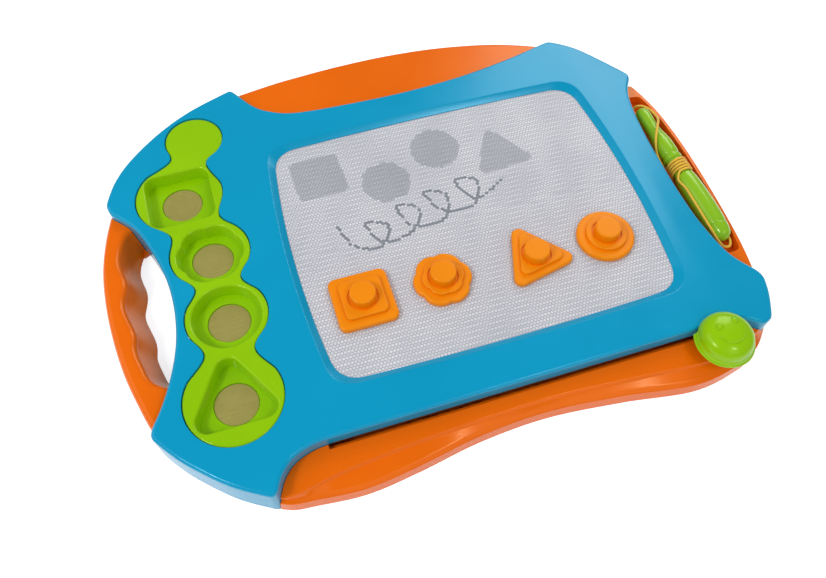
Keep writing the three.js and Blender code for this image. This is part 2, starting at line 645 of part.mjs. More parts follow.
function rearCover() {
  const railY = WINDOW_HALF_Y - RAIL_INSET;
  const railHalfX = WINDOW_HALF_X + RING_OPENING_X;
  const rail = (y) => slab(-railHalfX, railHalfX, y - RAIL_WIDTH / 2, y + RAIL_WIDTH / 2, WALL / 2, barUnder - GAP);
  const raised = [
    raisedShell(crestOutline, CREST_HEIGHT, CREST_ROUNDING),
    raisedShell(handleOutline, HANDLE_HEIGHT, HANDLE_ROUNDING),
    tray(), apron(),
    prism(inset(frameOutline, WALL + 2 * GAP), 0, WALL),
    ...passages.map((points) => strip(points.slice(1, -1), STRIP_REACH, 0, WALL)),
    rail(railY), rail(-railY),
    ...cupSpots.map((place) => cylinder(POST_R, WALL / 2, cupUnder - GAP, place)),
    ...housingScrewSpots.map((place) => cylinder(WELL_R, 0, wellTop, place)),
  ];
  return joined(raised).subtract(joined([
    ...housingScrewSpots.map((place) => cylinder(WELL_BORE_R, -OVERRUN, WELL_DEPTH, place)),
    ...housingScrewSpots.map((place) => cylinder(SCREW_HOLE_R, 0, wellTop + OVERRUN, place)),
  ]));
}

// Stamp holder: a lobed face with a flange below the frame and a cup for each stamp
function stampHolder() {
  const low = plateUnder - THIN_WALL;
  const face = joined([lobed(0, low, holderTop), lobed(FLANGE, low, plateUnder)])
    .intersect(prism(inset(frameOutline, WALL + GAP), low, frameTop))
    .subtract(lobed(-THIN_WALL, low - OVERRUN, holderTop - THIN_WALL))
    .subtract(joined(housingScrewSpots.map((place) => cylinder(BOSS_R + GAP, low - OVERRUN, frameTop, place))));
  const cups = kinds.flatMap((kind, i) => [
    at(prism(stampOutlines[kind](RECESS_CLEARANCE + THIN_WALL), recessFloor - THIN_WALL, holderTop - THIN_WALL / 2),
      cupSpots[i]),
    cylinder(DISC_R + GAP + THIN_WALL, cupUnder, recessFloor, cupSpots[i], ROUND),
  ]);
  const hollows = kinds.flatMap((kind, i) => [
    at(stack([
      { points: stampOutlines[kind](RECESS_CLEARANCE), height: recessFloor },
      { points: stampOutlines[kind](RECESS_CLEARANCE), height: holderTop - THIN_WALL / 2 },
      { points: stampOutlines[kind](RECESS_CLEARANCE + THIN_WALL), height: holderTop + THIN_WALL / 2 },
    ]), cupSpots[i]),
    cylinder(DISC_R + GAP, discUnder, recessFloor + OVERRUN, cupSpots[i], ROUND),
  ]);
  return joined([face, ...cups]).subtract(joined(hollows));
}

// Stamps
function stampBody(outline) {
  const baseTop = SCREEN_HEIGHT + STAMP_BASE;
  const pedestalTop = baseTop + PEDESTAL;
  const top = pedestalTop + STAMP_KNOB;
  const pedestal = outline(0).map((point) => point.clone().multiplyScalar(PEDESTAL_SHARE));
  const body = joined([
    stack([
      { points: outline(0), height: SCREEN_HEIGHT + STAMP_LIFT },
      { points: outline(0), height: baseTop - STAMP_FLARE },
      { points: outline(-STAMP_FLARE / 3), height: baseTop - STAMP_FLARE / 3 },
      { points: outline(-STAMP_FLARE), height: baseTop },
    ]),
    prism(pedestal, baseTop - GAP, pedestalTop),
    turned([
      [STAMP_KNOB_R, pedestalTop - GAP], [STAMP_KNOB_R, top - STAMP_ROUNDING],
      [STAMP_KNOB_R - STAMP_ROUNDING / 3, top - STAMP_ROUNDING / 3], [STAMP_KNOB_R - STAMP_ROUNDING, top],
    ], MEDIUM_ROUND),
  ]);
  const pocket = prism(outline(GAP - STAMP_MAGNET_INSET), SCREEN_HEIGHT, SCREEN_HEIGHT + STAMP_MAGNET + GAP);
  return body.subtract(pocket).subtract(cylinder(STAMP_KNOB_R - THIN_WALL, SCREEN_HEIGHT, top - THIN_WALL));
}

function addStamps() {
  kinds.forEach((kind, i) => {
    const turn = THREE.MathUtils.degToRad(TRIANGLE_TURN);
    const outline = (margin) => stampOutlines[kind](margin, turn);
    const place = spot(stampShares[i]);
    const magnet = prism(outline(-STAMP_MAGNET_INSET), SCREEN_HEIGHT, SCREEN_HEIGHT + STAMP_MAGNET);
    addNode(`stamp_${kind}`, geometryOf(at(stampBody(outline), place)), finishes.stamp);
    addNode(`stamp_magnet_${kind}`, geometryOf(at(magnet, place)), finishes.magnet);
  });
}

// Screen: two sheets, the honeycomb between them and the ring that holds them
function addScreen() {
  const sheet = (low, high) => geometryOf(plate(sheetHalfX, sheetHalfY, low, high));
  const ring = plate(WINDOW_HALF_X + RING_RIM_X, WINDOW_HALF_Y + RING_RIM_Y, ringUnder, screenUnder).subtract(joined([
    plate(WINDOW_HALF_X + RING_OPENING_X, WINDOW_HALF_Y + RING_OPENING_Y, ringUnder - OVERRUN, screenUnder + OVERRUN),
    ...ringScrewSpots.map((place) => cylinder(SCREW_HOLE_R, ringUnder - OVERRUN, screenUnder + OVERRUN, place)),
  ]));
  addNode("screen_front_sheet", sheet(coreTop, SCREEN_HEIGHT), finishes.sheet);
  addNode("screen_honeycomb", sheet(coreUnder, coreTop), finishes.core);
  addNode("screen_back_sheet", sheet(screenUnder, coreUnder), finishes.sheet);
  addNode("screen_retainer", geometryOf(ring), finishes.orange);
}

// A screw standing head down: its head's underside bears at a height.
const screw = (place, bearing, shank) => at(turned([
  [SCREW_HEAD_R, bearing - SCREW_HEAD], [SCREW_HEAD_R, bearing], [SHANK_R, bearing], [SHANK_R, bearing + shank],
], SMALL_ROUND), place);

function addScrews() {
  ringScrewSpots.forEach((place, i) => {
    addNode(`retainer_screw_${i + 1}`, geometryOf(screw(place, ringUnder, RING_SHANK)), finishes.steel);
  });
  housingScrewSpots.forEach((place, i) => {
    addNode(`housing_screw_${i + 1}`, geometryOf(screw(place, WELL_DEPTH, HOUSING_SHANK)), finishes.steel);
  });
}

function addDiscs() {
  kinds.forEach((kind, i) => {
    const disc = cylinder(DISC_R, discUnder, discUnder + DISC_THICKNESS, cupSpots[i], ROUND);
    addNode(`steel_disc_${kind}`, geometryOf(disc), finishes.disc);
  });
}

// Eraser: a magnetic bar under the screen, carried by an arm through the slot to the knob
function eraserBar() {
  const grooveHalf = ERASER_MAGNET_WIDTH / 2 + GAP;
  const arm = (y0, y1, z0, z1) => slab(-ARM_WIDTH / 2, ARM_WIDTH / 2, y0, y1, z0, z1);
  return joined([
    slab(-BAR_WIDTH / 2, BAR_WIDTH / 2, -barEnd, barEnd, barUnder, barTop),
    arm(-barEnd, ARM_ROOT - barEnd, armUnder, barUnder + GAP),
    arm(bladeY - BLADE_THICKNESS, GAP - barEnd, armUnder, armTop),
    arm(bladeY - BLADE_THICKNESS, bladeY, armUnder, tongueTop),
    arm(bladeY - TONGUE_LENGTH, bladeY, tongueTop - TONGUE_THICKNESS, tongueTop),
  ]).subtract(joined([
    slab(-grooveHalf, grooveHalf, WALL - barEnd, barEnd - WALL, barTop - ERASER_MAGNET - GAP, barTop + OVERRUN),
    cylinder(SCREW_HOLE_R, tongueTop - 2 * TONGUE_THICKNESS, tongueTop + OVERRUN, { x: 0, y: knobY }),
  ]));
}

// The knob's outside and hollow as shares of its dome's radius and its rise
const domeShares = [[1, 0.45], [0.97, 0.62], [0.86, 0.8], [0.62, 0.93], [0.3, 1]];
const domeHollowShares = [[0.844, 0.5], [0.72, 0.7], [0.42, 0.82], [0.25, 0.86]];

function eraserKnob() {
  const top = knobFoot + KNOB_RISE;
  const slope = KNOB_BRIM_R - KNOB_DOME_R;
  const dome = (shares) => shares.map(([reach, rise]) => [reach * KNOB_DOME_R, knobFoot + rise * KNOB_RISE]);
  const outer = turned([
    [KNOB_BRIM_R - GAP, knobFoot], [KNOB_BRIM_R, knobFoot + GAP], [KNOB_BRIM_R, knobFoot + THIN_WALL],
    [KNOB_DOME_R + slope / 3, knobFoot + KNOB_RISE / 4], ...dome(domeShares),
  ]);
  const cavity = turned([[KNOB_CAVITY_R, knobFoot - OVERRUN], ...dome(domeHollowShares)]);
  const boss = cylinder(BOSS_R, tongueTop, top - THIN_WALL / 2);
  const pilot = cylinder(PILOT_R, knobFoot - OVERRUN, tongueTop - TONGUE_THICKNESS + KNOB_SHANK + GAP);
  const behind = slab(
    -2 * KNOB_BRIM_R, 2 * KNOB_BRIM_R, KNOB_SETBACK - KNOB_WALL_CLEARANCE, 2 * KNOB_BRIM_R,
    knobFoot - OVERRUN, frameTop + GAP);
  return at(outer.subtract(cavity).add(boss).subtract(pilot).subtract(behind), { x: 0, y: knobY });
}

function addEraser() {
  const park = { x: WINDOW_HALF_X + PARK_PAST_WINDOW, y: 0 };
  const magnetUnder = barTop - ERASER_MAGNET - GAP;
  const magnet = plate(ERASER_MAGNET_WIDTH / 2, barEnd - WALL - GAP, magnetUnder, magnetUnder + ERASER_MAGNET);
  const knobScrew = screw({ x: 0, y: knobY }, tongueTop - TONGUE_THICKNESS, KNOB_SHANK);
  addNode("eraser_bar", geometryOf(at(eraserBar(), park)), finishes.orange);
  addNode("eraser_magnet", geometryOf(at(magnet, park)), finishes.magnet);
  addNode("eraser_knob", geometryOf(at(eraserKnob(), park)), finishes.green);
  addNode("eraser_knob_screw", geometryOf(at(knobScrew, park)), finishes.steel);
}

// Pen, built standing on its nose and then laid in the tray
const penSlant = PEN_TAIL_REACH - PEN_NOSE_REACH;
const penDrop = Math.sqrt(PEN_LENGTH ** 2 - penSlant ** 2);
const penNose = new THREE.Vector3(WINDOW_HALF_X + PEN_NOSE_REACH, PEN_MIDDLE_Y + penDrop / 2, penHeight);
const penAxis = new THREE.Vector3(penSlant, -penDrop, 0).normalize();
const penMatrix = new THREE.Matrix4()
  .makeBasis(new THREE.Vector3(0, 0, 1).cross(penAxis), new THREE.Vector3(0, 0, 1), penAxis)
  .setPosition(penNose);

const penPlace = ([aside, up, station]) => new THREE.Vector3(aside * PEN_R, up * PEN_R, station * PEN_LENGTH);
const knotPlace = () => penPlace(knotShares).applyMatrix4(penMatrix);
const laid = (body) => geometryOf(body).applyMatrix4(penMatrix);
const penTurned = (shares) => turned(
  shares.map(([station, reach]) => [reach * PEN_R, station * PEN_LENGTH]), MEDIUM_ROUND);

function addPen() {
  const tipHole = cylinder(TIP_MAGNET_R + GAP / 2, -OVERRUN, TIP_MAGNET_LENGTH + GAP);
  const plugPlace = penPlace(plugShares);
  const plugFoot = plugPlace.z - PLUG_LENGTH;
  const plugHole = cylinder(PLUG_R + GAP / 2, plugFoot - GAP, PEN_LENGTH + OVERRUN, plugPlace);
  const front = penTurned(frontBarrelShares).subtract(penTurned(frontBoreShares)).subtract(tipHole);
  const rear = penTurned(rearBarrelShares).subtract(penTurned(rearBoreShares)).subtract(plugHole);
  addNode("pen_front_barrel", laid(front), finishes.pen);
  addNode("pen_rear_barrel", laid(rear), finishes.pen);
  addNode("pen_tip_magnet", laid(cylinder(TIP_MAGNET_R, 0, TIP_MAGNET_LENGTH)), finishes.magnet);
  addNode("pen_tail_plug", laid(cylinder(PLUG_R, plugFoot, plugPlace.z, plugPlace)), finishes.pen);
}

// Pen cord: a winding on the pen's seat and a free lead from each of its ends
const [[seatStart, seatReach], [seatEnd]] = seatShares;
const coilRadius = seatReach * PEN_R + GAP + CORD_DIAMETER / 2;
const coilStart = ((seatStart + seatEnd) * PEN_LENGTH - CORD_TURNS * CORD_PITCH) / 2;
const straightTurns = CORD_DIAMETER / (2 * Math.PI * coilRadius);
const coilAngle = (turns) => THREE.MathUtils.degToRad(CORD_START_TURN) + turns * 2 * Math.PI;

// A helix with a straight run of one diameter at each end, measured in turns.
class Winding extends THREE.Curve {
  arcLengthDivisions = 600;

  place(turns) {
    const angle = coilAngle(turns);
    return new THREE.Vector3(
      coilRadius * Math.cos(angle), coilRadius * Math.sin(angle), coilStart + turns * CORD_PITCH);
  }

  heading(turns) {
    const angle = coilAngle(turns);
    return new THREE.Vector3(
      -coilRadius * Math.sin(angle), coilRadius * Math.cos(angle), CORD_PITCH / (2 * Math.PI)).normalize();
  }

  getPoint(share) {
    const turns = share * (CORD_TURNS + 2 * straightTurns) - straightTurns;
    const held = THREE.MathUtils.clamp(turns, 0, CORD_TURNS);
    return this.place(held).addScaledVector(this.heading(held), (turns - held) * 2 * Math.PI * coilRadius);
  }
}

// A round tube along a path.
function tube(path, sides, steps) {
  const shape = new THREE.Shape(petals(CORD_DIAMETER / 2, 0, sides));
  return geometryOf(solid(new THREE.ExtrudeGeometry(shape, { extrudePath: path, steps, bevelEnabled: false })));
}

// Least clearance of a path to itself, leaving out what lies within half a loop along it.
function leastGap(path, steps) {
  const points = path.getSpacedPoints(steps);
  let least = Infinity;
  points.forEach((point, i) => points.slice(i + LOOP_STEPS / 2).forEach((other) => {
    least = Math.min(least, point.distanceTo(other));
  }));
  return least - CORD_DIAMETER;
}

// A free run of cord from one face to another, straight for one diameter at both.
function lead(first, leaving, places, last, arriving) {
  const start = first.clone().addScaledVector(leaving, GAP);
  const end = last.clone().addScaledVector(arriving, -GAP);
  const path = new THREE.CatmullRomCurve3([
    start, start.clone().addScaledVector(leaving, CORD_DIAMETER), ...places,
    end.clone().addScaledVector(arriving, -CORD_DIAMETER), end,
  ].map((place) => place.applyMatrix4(penMatrix)), false, "centripetal");
  return tube(path, LEAD_SIDES, Math.round(path.getLength() / (CORD_DIAMETER * LEAD_STEP_DIAMETERS)));
}

function addCord() {
  const winding = new Winding();
  const steps = Math.ceil(CORD_TURNS * LOOP_STEPS) + 4;
  console.log(`winding clears itself by ${leastGap(winding, steps).toFixed(2)} mm`);
  const knotTop = TRAY_FLOOR_HEIGHT - WALL - GAP;
  const knotFace = penPlace(knotShares).setY(knotTop - penHeight);
  const front = lead(
    winding.getPoint(0), winding.heading(0).negate(), frontRouteShares.map(penPlace),
    knotFace, new THREE.Vector3(0, -1, 0));
  const tail = lead(
    winding.getPoint(1), winding.heading(CORD_TURNS), tailRouteShares.map(penPlace),
    penPlace(plugShares), new THREE.Vector3(0, 0, -1));
  addNode("cord_winding", tube(winding, LOOP_SIDES, steps).applyMatrix4(penMatrix), finishes.cord);
  addNode("cord_front_lead", front, finishes.cord);
  addNode("cord_tail_lead", tail, finishes.cord);
  addNode("cord_knot", geometryOf(cylinder(KNOT_R, GAP, knotTop, knotPlace())), finishes.cord);
}

addNode("front_frame", geometryOf(frontFrame()), finishes.blue);
addNode("rear_cover", geometryOf(rearCover()), finishes.orange);
addNode("stamp_holder", geometryOf(stampHolder()), finishes.green);
addScreen();
addScrews();
addDiscs();
addEraser();
addStamps();
addPen();
addCord();

const bounds = new THREE.Box3().setFromObject(board);
board.position.set(-(bounds.min.x + bounds.max.x) / 2, -(bounds.min.y + bounds.max.y) / 2, -bounds.min.z);

export default board;
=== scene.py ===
"""A magnetic drawing board, dressed around its packed construction.

The board lies on a table: a blue frame round an erasable screen, an orange cover whose raised parts
are the handle, the crest, the pen's tray and the apron, a green stamp holder, four stamps, a sliding
eraser and a pen on a cord. Every size is in metres, and places are worked out about the middle of
the window.
"""

import logging
import math
from collections.abc import Callable, Sequence
from dataclasses import dataclass
from enum import Enum
from functools import cached_property
from itertools import pairwise

import bmesh
import bpy
from bpy.types import Material, Mesh, Node, NodeSocket, Object
from mathutils import Matrix, Vector


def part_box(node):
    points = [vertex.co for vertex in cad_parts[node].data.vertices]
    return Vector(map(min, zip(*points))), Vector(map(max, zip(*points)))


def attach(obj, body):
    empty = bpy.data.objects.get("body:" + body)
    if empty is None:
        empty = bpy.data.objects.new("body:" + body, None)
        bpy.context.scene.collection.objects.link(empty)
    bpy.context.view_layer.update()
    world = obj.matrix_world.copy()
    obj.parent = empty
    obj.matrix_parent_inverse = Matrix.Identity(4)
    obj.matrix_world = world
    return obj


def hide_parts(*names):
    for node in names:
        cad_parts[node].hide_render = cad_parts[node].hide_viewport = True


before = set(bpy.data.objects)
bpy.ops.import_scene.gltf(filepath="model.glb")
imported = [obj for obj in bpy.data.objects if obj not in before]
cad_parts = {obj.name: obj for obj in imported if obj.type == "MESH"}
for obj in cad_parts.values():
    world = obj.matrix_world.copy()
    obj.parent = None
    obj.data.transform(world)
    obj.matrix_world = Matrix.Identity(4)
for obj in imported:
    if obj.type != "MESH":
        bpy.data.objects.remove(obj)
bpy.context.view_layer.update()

LOG = logging.getLogger("drawing_board")

MM = 0.001
GAP = 0.0003
OVERRUN = 0.001
FAR = 1.0
MERGE = MM / 1000
SLIVER = MM / 500
FLAT = math.radians(0.2)
SHARP = math.radians(38)
FULL_TURN = 2 * math.pi
BLUNTEST = 0.5
SCATTER = 12.9898

Pair = tuple[float, float]
Share = tuple[float, float]
Place = tuple[float, float, float]
Colour = tuple[float, float, float]
Outline = list[Vector]
Level = tuple[Outline, float]
Sockets = bpy.types.bpy_prop_collection


class Body(str, Enum):
    """The bodies that pieces ride on."""

    BOARD = "board"
    ERASER = "eraser"
    PEN = "pen"


class Cut(str, Enum):
    """How one solid acts on another."""

    JOIN = "UNION"
    REMOVE = "DIFFERENCE"
    KEEP = "INTERSECT"


def bend(start: Vector, corner: Vector, end: Vector, share: float) -> Vector:
    """A place on the curve that leaves one place towards a corner and reaches another from it."""
    return start * (1 - share) ** 2 + corner * 2 * share * (1 - share) + end * share**2


def glide(start: Vector, end: Vector, leave: Vector, arrive: Vector, share: float) -> Vector:
    """A place on the curve between two places, from the speeds at which it leaves and arrives."""
    cube = (start - end) * 2 + leave + arrive
    square = (end - start) * 3 - leave * 2 - arrive
    return cube * share**3 + square * share**2 + leave * share + start


def eased(points: Sequence[Vector], reach: float, steps: int = 3) -> list[Vector]:
    """An open line of places with its inner corners rounded.

    Args:
        points: the line's corners.
        reach: how far a rounding reaches from its corner.
        steps: number of stretches in it.

    Returns:
        The rounded line.
    """
    found = [points[0]]
    for before, corner, after in zip(points, points[1:], points[2:]):
        start = corner + (before - corner).normalized() * min(reach, (before - corner).length / 2)
        end = corner + (after - corner).normalized() * min(reach, (after - corner).length / 2)
        found += [bend(start, corner, end, step / steps) for step in range(steps + 1)]
    return [*found, points[-1]]


def smooth_run(points: Sequence[Vector], steps: int) -> list[Vector]:
    """A smooth curve through places, sampled evenly along its parameter.

    Args:
        points: places that the curve passes through.
        steps: number of stretches that the whole curve is cut into.

    Returns:
        The sampled places, from the first to the last.
    """
    last = len(points) - 1
    found = []
    for step in range(steps + 1):
        along = step / steps * last
        index = min(int(along), last - 1)
        before, start = points[max(index - 1, 0)], points[index]
        end, after = points[index + 1], points[min(index + 2, last)]
        found.append(glide(start, end, (end - before) / 2, (after - start) / 2, along - index))
    return found


def inset(points: Sequence[Vector], distance: float) -> Outline:
    """An outline drawn in by a distance; a negative one grows it.

    Args:
        points: the outline's corners, anticlockwise.
        distance: how far each side moves inwards.

    Returns:
        The moved corners.
    """
    found = []
    for index, point in enumerate(points):
        arriving = (point - points[index - 1]).normalized()
        leaving = (points[(index + 1) % len(points)] - point).normalized()
        bisector = Vector((-arriving.y - leaving.y, arriving.x + leaving.x))
        found.append(point + bisector * (distance / max(1 + arriving.dot(leaving), BLUNTEST)))
    return unfolded(points, found)


def leaning(outline: Outline, reach: float, end_share: float = 0.75) -> Outline:
    """An outline grown on its right, less at its ends, and not on its left.

    Args:
        outline: the outline's corners.
        reach: how far it grows on its right.
        end_share: how much of that it grows at its ends.

    Returns:
        The grown corners.
    """
    found = []
    for point, far in zip(outline, inset(outline, -reach)):
        way = (far - point).normalized().x
        found.append(point.lerp(far, min(1.0, max(0.0, end_share + way))))
    return found


def unfolded(points: Sequence[Vector], moved: Outline, passes: int = 40) -> Outline:
    """A moved outline whose sides don't run backwards: such a side shrinks to its middle.

    Args:
        points: the outline before it was moved.
        moved: the outline after that.
        passes: most rounds of shrinking.

    Returns:
        The mended outline.
    """
    for _ in range(passes):
        folds = 0
        for index in range(len(points)):
            before = index - 1
            if (moved[index] - moved[before]).dot(points[index] - points[before]) < 0:
                moved[before] = moved[index] = (moved[index] + moved[before]) / 2
                folds += 1
        if not folds:
            break
    return moved


def even(points: Sequence[Vector], spacing: float) -> Outline:
    """A closed outline sampled again at an even spacing.

    Args:
        points: the outline's corners.
        spacing: distance between the new corners, about.

    Returns:
        The new corners.
    """
    closed = [*points, points[0]]
    lengths = [(end - start).length for start, end in pairwise(closed)]
    count = round(sum(lengths) / spacing)
    step = sum(lengths) / count
    found = []
    passed = 0.0
    for (start, end), length in zip(pairwise(closed), lengths):
        while len(found) < count and len(found) * step < passed + length:
            found.append(start.lerp(end, (len(found) * step - passed) / length))
        passed += length
    return found


def softened(points: Sequence[Vector], spacing: float, passes: int) -> Outline:
    """A closed outline with its sharp corners worn round.

    Args:
        points: the outline's corners.
        spacing: distance between the corners that it is sampled at.
        passes: how many times each corner moves towards its neighbours.

    Returns:
        The rounded outline.
    """
    found = even(points, spacing)
    for _ in range(passes):
        ahead = [*found[1:], found[0]]
        found = [(found[index - 1] + point * 2 + ahead[index]) / 4 for index, point in enumerate(found)]
    return found


def arc(centre: Vector, radius: float, start: float, turn: float, steps: int) -> Outline:
    """Places along an arc.

    Args:
        centre: the arc's middle.
        radius: its radius.
        start: direction of its first place, in radians.
        turn: how far it turns, in radians.
        steps: number of stretches in it.

    Returns:
        The places, both ends among them.
    """
    turns = [start + turn * index / steps for index in range(steps + 1)]
    return [centre + Vector((math.cos(angle), math.sin(angle))) * radius for angle in turns]


def circle(radius: float, sides: int = 96, centre: Vector | None = None) -> Outline:
    """A round outline about a middle, or about the origin."""
    return arc(centre or Vector((0, 0)), radius, 0, FULL_TURN, sides)[:-1]


def rolled(outline: Outline, top: float, radius: float, steps: int = 5, side: int = 1) -> list[Level]:
    """Levels of an outline whose upper edge is rolled over.

    Args:
        outline: the outline below the roll.
        top: height of the roll's top.
        radius: the roll's radius.
        steps: number of stretches across it.
        side: one to roll inwards, minus one to roll outwards, as an opening's rim does.

    Returns:
        The levels, from the roll's foot to its top.
    """
    levels = []
    for step in range(steps + 1):
        turn = step / steps * FULL_TURN / 4
        level = inset(outline, side * radius * (1 - math.cos(turn)))
        levels.append((level, top - radius * (1 - math.sin(turn))))
    return levels


def verts_of(items: Sequence[object]) -> list[bmesh.types.BMVert]:
    """The corners among what an operator has made."""
    return [item for item in items if isinstance(item, bmesh.types.BMVert)]


class Solid:
    """A closed mesh under construction."""

    def __init__(self, shape: bmesh.types.BMesh) -> None:
        """Takes over a shape and turns its faces outwards."""
        bmesh.ops.remove_doubles(shape, verts=shape.verts, dist=MERGE)
        bmesh.ops.recalc_face_normals(shape, faces=shape.faces)
        self.mesh: Mesh = bpy.data.meshes.new("solid")
        shape.to_mesh(self.mesh)
        shape.free()

    @classmethod
    def prism(cls, outline: Sequence[Vector], low: float, high: float) -> "Solid":
        """An outline raised between two heights.

        Args:
            outline: its corners, anticlockwise.
            low: height of its foot.
            high: height of its top.

        Returns:
            The raised solid.
        """
        shape = bmesh.new()
        shape.faces.new([shape.verts.new((point.x, point.y, low)) for point in outline])
        raised = bmesh.ops.extrude_face_region(shape, geom=shape.faces[:])["geom"]
        bmesh.ops.translate(shape, verts=verts_of(raised), vec=(0, 0, high - low))
        return cls(shape)

    @classmethod
    def slab(cls, low: Place, high: Place) -> "Solid":
        """A block between its lowest and highest corners."""
        shape = bmesh.new()
        size = Vector(high) - Vector(low)
        middle = (Vector(high) + Vector(low)) / 2
        bmesh.ops.create_cube(shape, size=1, matrix=Matrix.Translation(middle) @ Matrix.Diagonal((*size, 1)))
        return cls(shape)

    @classmethod
    def loft(cls, rings: Sequence[Sequence[Vector]]) -> "Solid":
        """A skin through rings of the same count of places, closed at both ends."""
        shape = bmesh.new()
        loops = []
        for ring in rings:
            verts = [shape.verts.new(place) for place in ring]
            loops.append([shape.edges.new((verts[index - 1], verts[index])) for index in range(len(verts))])
            if ring is rings[0] or ring is rings[-1]:
                shape.faces.new(verts)
        for low, high in pairwise(loops):
            bmesh.ops.bridge_loops(shape, edges=[*low, *high])
        return cls(shape)

    @classmethod
    def stack(cls, levels: Sequence[Level]) -> "Solid":
        """A solid whose outline changes with height."""
        return cls.loft([
            [Vector((point.x, point.y, height)) for point in outline] for outline, height in levels])

    @classmethod
    def turned(cls, profile: Sequence[Pair], steps: int = 96) -> "Solid":
        """A profile spun about +Z.

        Args:
            profile: pairs of radius and height, from one end on the axis to the other.
            steps: number of stretches round the axis.

        Returns:
            The turned solid.
        """
        shape = bmesh.new()
        verts = [shape.verts.new((radius, 0, height)) for radius, height in profile]
        edges = [shape.edges.new(pair) for pair in pairwise(verts)]
        bmesh.ops.spin(
            shape, geom=[*verts, *edges], cent=(0, 0, 0), axis=(0, 0, 1), dvec=(0, 0, 0),
            angle=FULL_TURN, steps=steps, use_merge=True, use_duplicate=False)
        bmesh.ops.remove_doubles(shape, verts=shape.verts, dist=MERGE)
        return cls(shape)

    def edit(self, change: Callable[[bmesh.types.BMesh], None]) -> "Solid":
        """Runs a change on the solid's mesh."""
        shape = bmesh.new()
        shape.from_mesh(self.mesh)
        change(shape)
        shape.normal_update()
        shape.to_mesh(self.mesh)
        shape.free()
        return self

    def moved(self, matrix: Matrix) -> "Solid":
        """Moves the solid by a matrix."""
        self.mesh.transform(matrix)
        return self

    def combine(self, how: Cut, others: Sequence["Solid"]) -> "Solid":
        """Joins other solids to this one, or cuts with them, and uses them up."""
        holders = [self._holder(solid.mesh) for solid in (self, *others)]
        for other in holders[1:]:
            modifier = holders[0].modifiers.new("combine", "BOOLEAN")
            modifier.object = other
            modifier.operation = how.value
            modifier.solver = "EXACT"
        evaluated = holders[0].evaluated_get(bpy.context.evaluated_depsgraph_get())
        self.mesh = bpy.data.meshes.new_from_object(evaluated)
        for holder in holders:
            bpy.data.objects.remove(holder)
        return self.edit(self._tidy)

    def join(self, *others: "Solid") -> "Solid":
        """Joins other solids to this one."""
        return self.combine(Cut.JOIN, others)

    def cut(self, *others: "Solid") -> "Solid":
        """Cuts other solids out of this one."""
        return self.combine(Cut.REMOVE, others)

    def keep(self, other: "Solid") -> "Solid":
        """Keeps what lies inside another solid."""
        return self.combine(Cut.KEEP, [other])

    @staticmethod
    def _tidy(shape: bmesh.types.BMesh) -> None:
        """Merges doubled corners and joins faces that lie in one plane."""
        bmesh.ops.remove_doubles(shape, verts=shape.verts, dist=SLIVER)
        bmesh.ops.dissolve_limit(
            shape, angle_limit=FLAT, use_dissolve_boundaries=False, verts=shape.verts, edges=shape.edges)

    @staticmethod
    def _holder(mesh: Mesh) -> Object:
        """A scene object that holds a mesh while modifiers work on it."""
        holder = bpy.data.objects.new("holder", mesh)
        bpy.context.scene.collection.objects.link(holder)
        return holder


